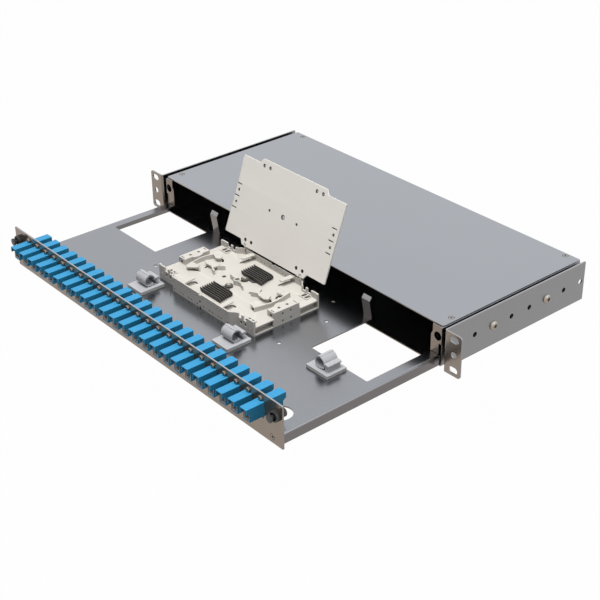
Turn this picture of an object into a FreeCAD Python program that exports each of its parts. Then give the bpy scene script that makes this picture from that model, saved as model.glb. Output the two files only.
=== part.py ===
import math
import os

import FreeCAD
import Part

V = FreeCAD.Vector

# Rack interface
RACK_HOLE_SPAN = 465.1
RACK_HOLE_RISE = 31.75
EAR_SPAN = 482.6
UNIT_HEIGHT = 44.0
EAR_HOLE_RADIUS = 3.25
EAR_SLOT_LENGTH = 10.5
EAR_CORNER = 3.0

# Rack brackets
BRACKET_CLEAR_WIDTH = 440.0
BRACKET_SHEET = 1.5
BRACKET_DEPTH = 195.0
BRACKET_LEG_LIFT = 1.8
SIDE_HOLE_COUNT = 7
SIDE_HOLE_PITCH = 25.0
SIDE_HOLE_FIRST = 39.2
SIDE_HOLE_HEIGHT = 1.3
SIDE_SCREW_SLOTS = (1, 4)

# Housing sheet metal
SHELL_WIDTH = 430.0
SHELL_SHEET = 1.2
SHELL_FRONT = 2.0
SHELL_LIP = 12.0
SHELL_BEND = 2.0
COVER_SHEET = 1.1
COVER_DROP = 0.5
COVER_SETBACK = 1.6
COVER_SCREW_INSET = 15.0
LATCH_PLATE_WIDTH = 13.5
LATCH_PLATE_STEP = 2.0
LATCH_NOTCH_TOP = 2.0
CABLE_ENTRY_X = (60.0, 165.0)
CABLE_BORE_RADIUS = 7.5
GROMMET_WALL = 2.6
GROMMET_FLANGE = 1.8

# Sliding tray
TRAY_STROKE = 187.0
TRAY_SHEET = 1.5
TRAY_FLOOR_TOP = -9.5
TRAY_ARM_WIDTH = 11.8
TRAY_CUT_INNER = 125.5
TRAY_CUT_LENGTH = 77.5
TRAY_BEND = 2.5
LUG_WIDTH = 11.2
LUG_HEIGHT = 23.4
LUG_LEAN = 3.0
PORT_HOLE_RADIUS = 11.0
PORT_HOLE_X = 188.6
PORT_HOLE_Y = 21.7
TRAY_HOLES = ((76.5, 180.2), (100.0, 151.5), (100.0, 92.8))
TRAY_HOLE_RADIUS = 2.0

# Front panel and its ports
PANEL_WIDTH = 436.0
PANEL_SHEET = 1.5
PORT_COUNT = 24
PORT_PITCH = 16.5
PORT_HEIGHT = 7.4
ADAPTER_WIDTH = 9.0
ADAPTER_TALL = 13.8
ADAPTER_FRONT = 19.2
ADAPTER_REAR = 22.2
ADAPTER_NOSE = 3.4
ADAPTER_NOSE_DROP = 5.4
ADAPTER_WALL = 0.9
ADAPTER_FLANGE = 2.0
PORT_SCREW_OFFSET = 9.4
PORT_SCREW_RADIUS = 1.25
PORT_SCREW_HEAD_RADIUS = 2.4
PORT_SCREW_HEAD = 1.8
PORT_SCREW_TIP = 4.0
INSERT_WALL = 0.6
PORT_WEB = 2.0
SLEEVE_BORE_RADIUS = 1.25
SLEEVE_WALL = 0.9
SLEEVE_LENGTH = 12.0
PANEL_SCREW_X = (68.0, 204.2)
PANEL_SCREW_HEIGHT = -15.7

# Push latches
LATCH_X = 210.0
LATCH_HEIGHT = 9.4
LATCH_SLEEVE_RADIUS = 4.2
LATCH_FLANGE_RADIUS = 6.0
LATCH_FLANGE = 3.0
LATCH_SLEEVE_LENGTH = 7.0
LATCH_PIN_RADIUS = 2.2
LATCH_KNOB_RADIUS = 4.7
LATCH_KNOB = 2.0
LATCH_TRAVEL = 3.2

# Splice cassette
CASSETTE_SETBACK = 122.0
CASSETTE_LENGTH = 153.0
CASSETTE_DEPTH = 80.8
CASSETTE_BULGE = 5.7
CASSETTE_BULGE_HALF = 46.0
CASSETTE_RISE = 15.7
CASSETTE_WALL = 1.5
CASSETTE_FLOOR = 1.3
CASSETTE_FLOOR_RISE = 9.1
CASSETTE_GUIDE_RISE = 5.0
CASSETTE_BLOCK_LENGTH = 12.0
CASSETTE_TAB_REACH = 14.0
CASSETTE_NOTCHES = ((53.5, 58.0), (61.0, 66.0))
CASSETTE_WING_REACH = 12.5

# Cassette lid
LID_LENGTH = 156.2
LID_SHEET = 1.8
LID_TAB_HALF = 48.8
LID_PIN_RISE = 2.65
LID_OPEN_ANGLE = 110.5
LID_KNUCKLE_RADIUS = 1.6
LID_PIN_RADIUS = 1.0
LID_LUG_X = 43.5
LID_LUG_WIDTH = 3.0

# Splice combs
COMB_LENGTH = 32.0
COMB_FINS = 7
COMB_FIN_PITCH = 2.9
COMB_FIN = 1.2
COMB_RISE = 5.0
COMB_BASE = 1.0
COMB_FRONT = -36.6
COMB_SCREW_PLACE = (-5.0, -11.5)
COMB_EAR_RADIUS = 4.0

# Cable clips
CLIP_BASE_LENGTH = 29.0
CLIP_BASE_WIDTH = 24.0
CLIP_BASE = 2.4
CLIP_PAD = 0.8
CLIP_RING_LENGTH = 16.0
CLIP_RING_RADIUS = 6.4
CLIP_RING_WALL = 1.4
CLIP_RING_LIFT = 6.3
CLIP_CASSETTE_GAP = 0.9
CLIP_FRONT_X = 70.0
CLIP_SIDE_PLACE = (161.8, -25.0)

# Screws and clearances
M5_RADIUS = 2.5
M5_HEAD_RADIUS = 4.75
M5_HEAD = 2.8
M3_RADIUS = 1.5
M3_HEAD_RADIUS = 3.0
SCREW_CLEARANCE = 0.1
SPACER_WALL = 2.0
RUN_GAP = 0.3
SLIDE_SIDE_GAP = 0.5
PIN_CLEARANCE = 0.05
SMALL_SIDES = 8
PORT_SIDES = 6
HEAD_SIDES = 12
GROMMET_SIDES = 16

HALF_UNIT = UNIT_HEIGHT / 2
SHELL_HALF = SHELL_WIDTH / 2
COVER_TOP = HALF_UNIT - COVER_DROP
SHELL_TOP = COVER_TOP - COVER_SHEET
SHELL_REAR = BRACKET_DEPTH - 0.4
COVER_FRONT = SHELL_FRONT + COVER_SETBACK
TRAY_FRONT = -TRAY_STROKE
TRAY_HALF = SHELL_HALF - SHELL_SHEET - SLIDE_SIDE_GAP
TRAY_SKIRT_END = -HALF_UNIT + SHELL_SHEET + RUN_GAP
PANEL_BACK = TRAY_FRONT + PANEL_SHEET
TRAY_REAR = TRAY_FRONT + TRAY_STROKE + PANEL_SHEET - 1.0
CASSETTE_Y = TRAY_FRONT + CASSETTE_SETBACK
WALL_TOP = TRAY_FLOOR_TOP + CASSETTE_RISE
FLOOR_TOP = TRAY_FLOOR_TOP + CASSETTE_FLOOR_RISE
GUIDE_TOP = FLOOR_TOP + CASSETTE_GUIDE_RISE
PIN_Y = CASSETTE_Y + CASSETTE_DEPTH / 2 + CASSETTE_BULGE
PIN_Z = WALL_TOP + RUN_GAP + LID_PIN_RISE
CLIP_FRONT_Y = (CASSETTE_Y - CASSETTE_DEPTH / 2 - CASSETTE_BULGE - CLIP_CASSETTE_GAP
                - CLIP_BASE_LENGTH / 2)
CLIPS = (
    (-CLIP_FRONT_X, CLIP_FRONT_Y, 0.0),
    (CLIP_FRONT_X, CLIP_FRONT_Y, 0.0),
    (CLIP_SIDE_PLACE[0], CASSETTE_Y + CLIP_SIDE_PLACE[1], -90.0),
)


def point(axis, a, b, at):
    if axis == "x":
        return V(at, a, b)
    if axis == "y":
        return V(a, at, b)
    return V(a, b, at)


def outline(corners, axis, at):
    """Closed wire through (a, b, radius) corners in the plane square to axis.

    A radius below nought cuts the corner straight, that far from it.
    """
    count = len(corners)
    starts = []
    ends = []
    middles = []
    for i, (a, b, radius) in enumerate(corners):
        here = V(a, b, 0)
        before = V(corners[i - 1][0], corners[i - 1][1], 0) - here
        after = V(corners[(i + 1) % count][0], corners[(i + 1) % count][1], 0) - here
        before.normalize()
        after.normalize()
        if radius <= 0:
            starts.append(here - before * radius)
            ends.append(here - after * radius)
            middles.append(None)
            continue
        half = before.getAngle(after) / 2
        reach = radius / math.tan(half)
        bisector = before + after
        bisector.normalize()
        starts.append(here + before * reach)
        ends.append(here + after * reach)
        middles.append(here + bisector * (radius / math.sin(half) - radius))
    edges = []
    for i in range(count):
        if middles[i] is not None:
            arc = Part.Arc(
                point(axis, starts[i].x, starts[i].y, at),
                point(axis, middles[i].x, middles[i].y, at),
                point(axis, ends[i].x, ends[i].y, at),
            )
            edges.append(arc.toShape())
        elif starts[i].distanceToPoint(ends[i]) > 1e-6:
            edges.append(Part.makeLine(
                point(axis, starts[i].x, starts[i].y, at),
                point(axis, ends[i].x, ends[i].y, at),
            ))
        start = ends[i]
        end = starts[(i + 1) % count]
        if start.distanceToPoint(end) > 1e-6:
            edges.append(Part.makeLine(
                point(axis, start.x, start.y, at),
                point(axis, end.x, end.y, at),
            ))
    return Part.Wire(edges)


def prism(corners, axis, low, high):
    """Solid with the given (a, b, radius) outline between two stations of axis."""
    full = [tuple(c) + (0.0,) * (3 - len(c)) for c in corners]
    face = Part.Face(outline(full, axis, low))
    return face.extrude(point(axis, 0, 0, high - low))


def box(x0, x1, y0, y1, z0, z1):
    return Part.makeBox(x1 - x0, y1 - y0, z1 - z0, V(x0, y0, z0))


def rod(radius, start, end):
    reach = V(*end) - V(*start)
    return Part.makeCylinder(radius, reach.Length, V(*start), reach)


def peg(radius, start, end, sides=SMALL_SIDES, far_radius=None):
    """Flat-sided rod or taper along one axis, for what is small or repeats."""
    reach = V(*end) - V(*start)
    across = [unit for unit in (V(1, 0, 0), V(0, 1, 0), V(0, 0, 1)) if abs(unit * reach) < 1e-6]
    rings = []
    for centre, size in ((V(*start), radius), (V(*end), far_radius or radius)):
        corners = []
        for k in range(sides + 1):
            angle = 2 * math.pi * (k + 0.5) / sides
            corner = across[0] * math.cos(angle) + across[1] * math.sin(angle)
            corners.append(centre + corner * size)
        rings.append(Part.makePolygon(corners))
    return Part.makeLoft(rings, True, True)


def plate(x0, x1, y0, y1, z0, z1, radius):
    return prism([(x0, y0, radius), (x1, y0, radius), (x1, y1, radius), (x0, y1, radius)],
                 "z", z0, z1)


def join(shapes):
    return shapes[0].multiFuse(shapes[1:]).removeSplitter()


def cut(shape, tools):
    return shape.cut(tools)


def mirrored(shape):
    return shape.mirror(V(0, 0, 0), V(1, 0, 0))


def turned(shape, degrees, x=0.0, y=0.0):
    copy = shape.copy()
    copy.rotate(V(x, y, 0), V(0, 0, 1), degrees)
    return copy


def moved(shape, x, y, z=0.0):
    copy = shape.copy()
    copy.translate(V(x, y, z))
    return copy


def save(node, shape):
    shape.exportStep("parts/" + node + ".step")


def both_sides(maker):
    return [maker(-1), maker(1)]


# Rack brackets

def side_hole_y(index):
    return SIDE_HOLE_FIRST + SIDE_HOLE_PITCH * index


def rack_bracket_right():
    inner = BRACKET_CLEAR_WIDTH / 2
    bend = BRACKET_SHEET + 1.0
    leg = prism([
        (EAR_SPAN / 2, 0.0, 0.0),
        (EAR_SPAN / 2, BRACKET_SHEET, 0.0),
        (inner + BRACKET_SHEET, BRACKET_SHEET, bend - BRACKET_SHEET),
        (inner + BRACKET_SHEET, BRACKET_DEPTH, 0.0),
        (inner, BRACKET_DEPTH, 0.0),
        (inner, 0.0, bend),
    ], "z", -HALF_UNIT, HALF_UNIT)
    side = prism([
        (0.0, -HALF_UNIT),
        (BRACKET_SHEET + 2.0, -HALF_UNIT),
        (BRACKET_SHEET + 3.0, -HALF_UNIT + BRACKET_LEG_LIFT),
        (BRACKET_DEPTH, -HALF_UNIT + BRACKET_LEG_LIFT, -1.0),
        (BRACKET_DEPTH, HALF_UNIT, -1.0),
        (0.0, HALF_UNIT),
    ], "x", inner - 1, EAR_SPAN / 2 + 1)
    front = prism([
        (inner - 1, -HALF_UNIT),
        (EAR_SPAN / 2, -HALF_UNIT, EAR_CORNER),
        (EAR_SPAN / 2, HALF_UNIT, EAR_CORNER),
        (inner - 1, HALF_UNIT),
    ], "y", -1, BRACKET_DEPTH + 1)
    body = leg.common(side).common(front)
    hole_x = RACK_HOLE_SPAN / 2
    reach = EAR_SLOT_LENGTH / 2 - EAR_HOLE_RADIUS
    tools = [rod(EAR_HOLE_RADIUS, (hole_x, -1, 0), (hole_x, 3, 0))]
    for z in (-RACK_HOLE_RISE / 2, RACK_HOLE_RISE / 2):
        tools.append(box(hole_x - reach, hole_x + reach, -1, 3,
                         z - EAR_HOLE_RADIUS, z + EAR_HOLE_RADIUS))
        for x in (hole_x - reach, hole_x + reach):
            tools.append(rod(EAR_HOLE_RADIUS, (x, -1, z), (x, 3, z)))
    for index in range(SIDE_HOLE_COUNT):
        y = side_hole_y(index)
        tools.append(peg(M5_RADIUS + SCREW_CLEARANCE,
                         (inner - 1, y, SIDE_HOLE_HEIGHT), (inner + 3, y, SIDE_HOLE_HEIGHT)))
    return cut(body, tools)


def side_screw(side, y):
    inner = BRACKET_CLEAR_WIDTH / 2
    head_base = inner + BRACKET_SHEET
    tip = SHELL_HALF - SHELL_SHEET - 4.0
    z = SIDE_HOLE_HEIGHT
    shank = peg(M5_RADIUS, (tip, y, z), (head_base, y, z))
    head = peg(M5_HEAD_RADIUS, (head_base, y, z), (head_base + M5_HEAD * 0.45, y, z), HEAD_SIDES)
    dome = peg(M5_HEAD_RADIUS, (head_base + M5_HEAD * 0.45, y, z), (head_base + M5_HEAD, y, z),
               HEAD_SIDES, M5_HEAD_RADIUS * 0.6)
    corners = []
    for k in range(6):
        angle = math.radians(60 * k)
        corners.append((y + 1.7 * math.cos(angle), z + 1.7 * math.sin(angle)))
    socket = prism(corners, "x", head_base + M5_HEAD - 1.6, head_base + M5_HEAD + 1)
    screw = join([shank, head, dome]).cut(socket)
    if side < 0:
        return mirrored(screw)
    return screw


def side_spacer(side, y):
    z = SIDE_HOLE_HEIGHT
    outer = M5_RADIUS + SCREW_CLEARANCE + SPACER_WALL
    tube = peg(outer, (SHELL_HALF, y, z), (BRACKET_CLEAR_WIDTH / 2, y, z))
    bore = peg(M5_RADIUS + SCREW_CLEARANCE, (SHELL_HALF - 1, y, z),
               (BRACKET_CLEAR_WIDTH / 2 + 1, y, z))
    tube = tube.cut(bore)
    if side < 0:
        return mirrored(tube)
    return tube


# Housing

def cover_screw_points():
    front_x = SHELL_HALF - SHELL_LIP / 2
    rear_x = SHELL_HALF - COVER_SCREW_INSET
    front_y = COVER_FRONT + SHELL_LIP + 4.4
    rear_y = SHELL_REAR - SHELL_LIP * 0.4
    return [(-front_x, front_y), (front_x, front_y), (-rear_x, rear_y), (rear_x, rear_y)]


def housing_shell():
    half = SHELL_HALF
    t = SHELL_SHEET
    low = -HALF_UNIT
    bend = SHELL_BEND
    section = [
        (-half + SHELL_LIP, SHELL_TOP, 0.0),
        (-half, SHELL_TOP, bend),
        (-half, low, bend),
        (half, low, bend),
        (half, SHELL_TOP, bend),
        (half - SHELL_LIP, SHELL_TOP, 0.0),
        (half - SHELL_LIP, SHELL_TOP - t, 0.0),
        (half - t, SHELL_TOP - t, bend - t),
        (half - t, low + t, bend - t),
        (-half + t, low + t, bend - t),
        (-half + t, SHELL_TOP - t, bend - t),
        (-half + SHELL_LIP, SHELL_TOP - t, 0.0),
    ]
    pieces = [prism(section, "y", SHELL_FRONT + t, SHELL_REAR)]
    for x, y in cover_screw_points()[:2]:
        pieces.append(peg(M3_HEAD_RADIUS, (x, y, SHELL_TOP - t - 2.4), (x, y, SHELL_TOP - t)))
    for side in (-1, 1):
        for index in SIDE_SCREW_SLOTS:
            y = side_hole_y(index)
            pieces.append(peg(M5_RADIUS + 2.0, (side * (half - t - 3.0), y, SIDE_HOLE_HEIGHT),
                              (side * (half - t), y, SIDE_HOLE_HEIGHT)))
    body = join(pieces)
    tools = cover_screw_holes()
    for side in (-1, 1):
        for index in SIDE_SCREW_SLOTS:
            y = side_hole_y(index)
            tools.append(peg(M5_RADIUS + SCREW_CLEARANCE, (side * (half - 10), y, SIDE_HOLE_HEIGHT),
                             (side * (half + 1), y, SIDE_HOLE_HEIGHT)))
    return cut(body, tools)


def cover_screw_holes():
    tools = []
    for x, y in cover_screw_points():
        tools.append(peg(M3_RADIUS + SCREW_CLEARANCE, (x, y, SHELL_TOP - SHELL_SHEET - 4),
                         (x, y, SHELL_TOP + 1)))
    return tools


def rear_wall():
    """Wall between the sides, its top edge bent forward into a lip under the cover."""
    t = SHELL_SHEET
    half = SHELL_HALF - t
    lip = SHELL_HALF - SHELL_LIP - RUN_GAP
    corner = SHELL_BEND - t
    wall = prism([
        (-half, -HALF_UNIT + t, corner),
        (half, -HALF_UNIT + t, corner),
        (half, SHELL_TOP - t, corner),
        (-half, SHELL_TOP - t, corner),
    ], "y", SHELL_REAR - t, SHELL_REAR)
    pieces = [wall, box(-lip, lip, SHELL_REAR - SHELL_LIP, SHELL_REAR, SHELL_TOP - t, SHELL_TOP)]
    for x, y in cover_screw_points()[2:]:
        pieces.append(peg(M3_HEAD_RADIUS, (x, y, SHELL_TOP - t - 2.4), (x, y, SHELL_TOP - t)))
    tools = cover_screw_holes()
    entry = CABLE_BORE_RADIUS + GROMMET_WALL
    for x in cable_entries():
        tools.append(peg(entry, (x, SHELL_REAR - 5, 0), (x, SHELL_REAR + 5, 0), GROMMET_SIDES))
    return cut(join(pieces), tools)


def latch_plate(side):
    outer = SHELL_HALF
    inner = outer - LATCH_PLATE_WIDTH
    low = TRAY_FLOOR_TOP + RUN_GAP
    step = inner + LATCH_PLATE_STEP
    slot = outer - 3.5
    radius = LATCH_PLATE_STEP * 0.45
    body = prism([
        (outer, SHELL_TOP, SHELL_BEND),
        (outer, LATCH_NOTCH_TOP),
        (slot, LATCH_NOTCH_TOP, -1.0),
        (slot, low),
        (inner, low),
        (inner, LATCH_HEIGHT - 0.6, radius),
        (step, LATCH_HEIGHT + 3.0, radius),
        (step, SHELL_TOP),
    ], "y", SHELL_FRONT, SHELL_FRONT + SHELL_SHEET)
    hole = rod(LATCH_SLEEVE_RADIUS + RUN_GAP, (LATCH_X, SHELL_FRONT - 1, LATCH_HEIGHT),
               (LATCH_X, SHELL_FRONT + 3, LATCH_HEIGHT))
    body = body.cut(hole)
    if side < 0:
        return mirrored(body)
    return body


def cable_entries():
    return [-CABLE_ENTRY_X[1], -CABLE_ENTRY_X[0], CABLE_ENTRY_X[0], CABLE_ENTRY_X[1]]


def cable_grommet(x):
    entry = CABLE_BORE_RADIUS + GROMMET_WALL
    outside = peg(entry + GROMMET_FLANGE, (x, SHELL_REAR, 0), (x, SHELL_REAR + 2.0, 0), GROMMET_SIDES)
    inside = peg(entry + GROMMET_FLANGE, (x, SHELL_REAR - SHELL_SHEET - 2.0, 0),
                 (x, SHELL_REAR - SHELL_SHEET, 0), GROMMET_SIDES)
    waist = peg(entry, (x, SHELL_REAR - SHELL_SHEET, 0), (x, SHELL_REAR, 0), GROMMET_SIDES)
    bore = rod(CABLE_BORE_RADIUS, (x, SHELL_REAR - 6, 0), (x, SHELL_REAR + 4, 0))
    return join([outside, inside, waist]).cut(bore)


def top_cover():
    half = SHELL_HALF
    sheet = prism([
        (-half, COVER_FRONT, 3.0),
        (half, COVER_FRONT, 3.0),
        (half, SHELL_REAR),
        (-half, SHELL_REAR),
    ], "z", SHELL_TOP, COVER_TOP)
    tools = []
    for x, y in cover_screw_points():
        tools.append(peg(M3_RADIUS + SCREW_CLEARANCE, (x, y, SHELL_TOP), (x, y, COVER_TOP), SMALL_SIDES,
                         M3_HEAD_RADIUS + SCREW_CLEARANCE))
    return cut(sheet, tools)


def flat_screw(radius, head_radius, head, length, x, y, z, direction):
    """Countersunk screw whose flat head lies at the point; direction is where it points."""
    d = V(*direction)
    p = V(x, y, z)
    neck = p + d * head
    tip = p + d * length
    top = peg(head_radius, tuple(p), tuple(neck), SMALL_SIDES, radius)
    shank = peg(radius, tuple(neck), tuple(tip))
    drive = peg(head_radius * 0.36, tuple(p - d), tuple(p + d * (head * 0.45)), 4)
    return join([top, shank]).cut(drive)


# Tray

def tray():
    half = TRAY_HALF
    t = TRAY_SHEET
    top = TRAY_FLOOR_TOP
    low = TRAY_SKIRT_END
    bend = TRAY_BEND
    section = [
        (-half, low, 0.0),
        (-half, top, bend),
        (half, top, bend),
        (half, low, 0.0),
        (half - t, low, 0.0),
        (half - t, top - t, bend - t),
        (-half + t, top - t, bend - t),
        (-half + t, low, 0.0),
    ]
    arm_end = TRAY_REAR + 4.0
    pieces = [prism(section, "y", PANEL_BACK, arm_end)]
    pieces.append(box(-half + t + 1, half - t - 1, PANEL_BACK, PANEL_BACK + t, low, top - t / 2))
    for side in (-1, 1):
        pieces.append(rear_lug(side))
        for x in PANEL_SCREW_X:
            pieces.append(peg(M3_HEAD_RADIUS, (side * x, PANEL_BACK + t, PANEL_SCREW_HEIGHT),
                              (side * x, PANEL_BACK + t + 2.4, PANEL_SCREW_HEIGHT)))
    body = join(pieces)
    tools = []
    cut_outer = half - TRAY_ARM_WIDTH
    tools.append(box(-TRAY_CUT_INNER, TRAY_CUT_INNER, TRAY_REAR, arm_end + 1, top - 4, top + 1))
    for side in (-1, 1):
        x_low = min(side * TRAY_CUT_INNER, side * cut_outer)
        x_high = max(side * TRAY_CUT_INNER, side * cut_outer)
        tools.append(box(x_low, x_high, TRAY_REAR - TRAY_CUT_LENGTH, arm_end + 1, top - 4, top + 1))
        tools.append(rod(PORT_HOLE_RADIUS, (side * PORT_HOLE_X, TRAY_FRONT + PORT_HOLE_Y, top - 4),
                         (side * PORT_HOLE_X, TRAY_FRONT + PORT_HOLE_Y, top + 1)))
        for x, y in TRAY_HOLES:
            tools.append(peg(TRAY_HOLE_RADIUS, (side * x, TRAY_FRONT + y, top - 4),
                             (side * x, TRAY_FRONT + y, top + 1)))
        for x in PANEL_SCREW_X:
            tools.append(peg(M3_RADIUS + SCREW_CLEARANCE, (side * x, PANEL_BACK - 1, PANEL_SCREW_HEIGHT),
                             (side * x, PANEL_BACK + 8, PANEL_SCREW_HEIGHT)))
    for x in cassette_screw_points():
        tools.append(peg(M3_RADIUS + SCREW_CLEARANCE, (x, CASSETTE_Y, top - 4), (x, CASSETTE_Y, top + 1)))
    return cut(body, tools)


def rear_lug(side):
    t = TRAY_SHEET
    base = TRAY_REAR
    top = TRAY_FLOOR_TOP
    lug = prism([
        (base, top - t),
        (base, top + 2.0, 2.0),
        (base - LUG_LEAN, top + LUG_HEIGHT - 4.0, 2.0),
        (base - LUG_LEAN + 2.6, top + LUG_HEIGHT),
        (base - LUG_LEAN + 1.4, top + LUG_HEIGHT + 0.8),
        (base - LUG_LEAN - t, top + LUG_HEIGHT - 3.6, 2.0),
        (base - t, top + 2.0, 2.0),
        (base - t, top - t),
    ], "x", TRAY_CUT_INNER - LUG_WIDTH, TRAY_CUT_INNER)
    if side < 0:
        return mirrored(lug)
    return lug


# Front panel

def port_x(index):
    return (index - (PORT_COUNT - 1) / 2) * PORT_PITCH


def port_screw_points():
    points = []
    for index in range(PORT_COUNT):
        for side in (-1, 1):
            points.append((port_x(index), PORT_HEIGHT + side * PORT_SCREW_OFFSET))
    return points


def front_panel():
    half = PANEL_WIDTH / 2
    sheet = prism([
        (-half, -HALF_UNIT, -0.8),
        (half, -HALF_UNIT, -0.8),
        (half, HALF_UNIT, -0.8),
        (-half, HALF_UNIT, -0.8),
    ], "y", TRAY_FRONT, PANEL_BACK)
    tools = []
    for index in range(PORT_COUNT):
        x = port_x(index)
        tools.append(box(x - ADAPTER_WIDTH / 2, x + ADAPTER_WIDTH / 2, TRAY_FRONT - 1, PANEL_BACK + 1,
                         PORT_HEIGHT - ADAPTER_TALL / 2, PORT_HEIGHT + ADAPTER_TALL / 2))
    for x, z in port_screw_points():
        tools.append(peg(PORT_SCREW_RADIUS + SCREW_CLEARANCE, (x, TRAY_FRONT - 1, z),
                         (x, PANEL_BACK + 1, z), PORT_SIDES))
    for side in (-1, 1):
        tools.append(rod(LATCH_SLEEVE_RADIUS, (side * LATCH_X, TRAY_FRONT - 1, LATCH_HEIGHT),
                         (side * LATCH_X, PANEL_BACK + 1, LATCH_HEIGHT)))
        for x in PANEL_SCREW_X:
            tools.append(peg(M3_HEAD_RADIUS + SCREW_CLEARANCE,
                             (side * x, TRAY_FRONT, PANEL_SCREW_HEIGHT),
                             (side * x, PANEL_BACK, PANEL_SCREW_HEIGHT),
                             SMALL_SIDES, M3_RADIUS + SCREW_CLEARANCE))
    return cut(sheet, tools)


def port_liner_ends():
    front = TRAY_FRONT - ADAPTER_FRONT + ADAPTER_NOSE + 0.2
    rear = PANEL_BACK + ADAPTER_REAR - ADAPTER_NOSE - 0.4
    return front, rear


def port_middle():
    front, rear = port_liner_ends()
    return (front + rear) / 2


def adapter(index):
    """Adapter housing: stepped snout at each end, mounting flange behind the panel."""
    x = port_x(index)
    half = ADAPTER_WIDTH / 2
    low = PORT_HEIGHT - ADAPTER_TALL / 2
    high = PORT_HEIGHT + ADAPTER_TALL / 2
    front = TRAY_FRONT - ADAPTER_FRONT
    rear = PANEL_BACK + ADAPTER_REAR
    nose = high - ADAPTER_NOSE_DROP
    body = prism([
        (front, high),
        (front, nose),
        (front + ADAPTER_NOSE, nose),
        (front + ADAPTER_NOSE, low),
        (rear - ADAPTER_NOSE, low),
        (rear - ADAPTER_NOSE, nose - 2.4),
        (rear, nose),
        (rear, high),
    ], "x", x - half, x + half)
    flange_reach = PORT_SCREW_OFFSET + PORT_SCREW_HEAD_RADIUS
    flange = box(x - half, x + half, PANEL_BACK, PANEL_BACK + ADAPTER_FLANGE,
                 PORT_HEIGHT - flange_reach, PORT_HEIGHT + flange_reach)
    middle = port_middle()
    tools = []
    for y0, y1 in ((front - 1, middle - PORT_WEB / 2), (middle + PORT_WEB / 2, rear + 1)):
        tools.append(box(x - half + ADAPTER_WALL, x + half - ADAPTER_WALL, y0, y1,
                         low + ADAPTER_WALL, high - ADAPTER_WALL))
    tools.append(peg(SLEEVE_BORE_RADIUS + SLEEVE_WALL, (x, middle - 2, PORT_HEIGHT),
                     (x, middle + 2, PORT_HEIGHT), PORT_SIDES))
    for side in (-1, 1):
        z = PORT_HEIGHT + side * PORT_SCREW_OFFSET
        tools.append(peg(PORT_SCREW_RADIUS, (x, PANEL_BACK - 1, z), (x, PANEL_BACK + 4, z), PORT_SIDES))
    return cut(join([body, flange]), tools)


def adapter_insert(index):
    """White liner in both sockets of one adapter, and its alignment sleeve."""
    x = port_x(index)
    half = ADAPTER_WIDTH / 2 - ADAPTER_WALL
    rise = ADAPTER_TALL / 2 - ADAPTER_WALL
    front, rear = port_liner_ends()
    middle = port_middle()
    pieces = []
    for y0, y1 in ((front, middle - PORT_WEB / 2), (middle + PORT_WEB / 2, rear)):
        frame = box(x - half, x + half, y0, y1, PORT_HEIGHT - rise, PORT_HEIGHT + rise)
        hollow = box(x - half + INSERT_WALL, x + half - INSERT_WALL, y0 - 1, y1 + 1,
                     PORT_HEIGHT - rise + INSERT_WALL, PORT_HEIGHT + rise - INSERT_WALL)
        pieces.append(frame.cut(hollow))
    sleeve = peg(SLEEVE_BORE_RADIUS + SLEEVE_WALL, (x, middle - SLEEVE_LENGTH / 2, PORT_HEIGHT),
                 (x, middle + SLEEVE_LENGTH / 2, PORT_HEIGHT), PORT_SIDES)
    bore = peg(SLEEVE_BORE_RADIUS, (x, middle - SLEEVE_LENGTH, PORT_HEIGHT),
               (x, middle + SLEEVE_LENGTH, PORT_HEIGHT), PORT_SIDES)
    pieces.append(sleeve.cut(bore))
    return Part.makeCompound(pieces)


def port_screw(x, z):
    head = peg(PORT_SCREW_HEAD_RADIUS, (x, TRAY_FRONT - PORT_SCREW_HEAD, z), (x, TRAY_FRONT, z), PORT_SIDES)
    tip = PANEL_BACK + ADAPTER_FLANGE + PORT_SCREW_TIP
    shank = peg(PORT_SCREW_RADIUS, (x, TRAY_FRONT, z), (x, tip, z), PORT_SIDES)
    return head.fuse(shank)


# Push latches

def latch_sleeve(side):
    x = side * LATCH_X
    flange = rod(LATCH_FLANGE_RADIUS, (x, TRAY_FRONT - LATCH_FLANGE, LATCH_HEIGHT),
                 (x, TRAY_FRONT, LATCH_HEIGHT))
    barrel = rod(LATCH_SLEEVE_RADIUS, (x, TRAY_FRONT, LATCH_HEIGHT),
                 (x, PANEL_BACK + LATCH_SLEEVE_LENGTH, LATCH_HEIGHT))
    bore = rod(LATCH_PIN_RADIUS + PIN_CLEARANCE, (x, TRAY_FRONT - LATCH_FLANGE - 1, LATCH_HEIGHT),
               (x, PANEL_BACK + LATCH_SLEEVE_LENGTH + 1, LATCH_HEIGHT))
    return cut(join([flange, barrel]), [bore])


def latch_plunger(side):
    x = side * LATCH_X
    base = TRAY_FRONT - LATCH_FLANGE - LATCH_TRAVEL - RUN_GAP
    knob = rod(LATCH_KNOB_RADIUS, (x, base - LATCH_KNOB, LATCH_HEIGHT), (x, base, LATCH_HEIGHT))
    pin = rod(LATCH_PIN_RADIUS, (x, base, LATCH_HEIGHT),
              (x, PANEL_BACK + LATCH_SLEEVE_LENGTH - LATCH_TRAVEL, LATCH_HEIGHT))
    return knob.fuse(pin)


# Splice cassette

def cassette_screw_points():
    return [-CASSETTE_LENGTH * 0.2, CASSETTE_LENGTH * 0.2]


def cassette_outline(inset):
    length = CASSETTE_LENGTH / 2 - inset
    depth = CASSETTE_DEPTH / 2 - inset
    bulge = CASSETTE_DEPTH / 2 + CASSETTE_BULGE - inset
    flat = CASSETTE_BULGE_HALF
    foot = flat + CASSETTE_BULGE + 0.4
    soft = -1.6
    return [
        (-length, -depth, 0.0), (-foot, -depth, soft), (-flat, -bulge, soft),
        (flat, -bulge, soft), (foot, -depth, soft), (length, -depth, 0.0),
        (length, depth, 0.0), (foot, depth, soft), (flat, bulge, soft),
        (-flat, bulge, soft), (-foot, depth, soft), (-length, depth, 0.0),
    ]


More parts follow.
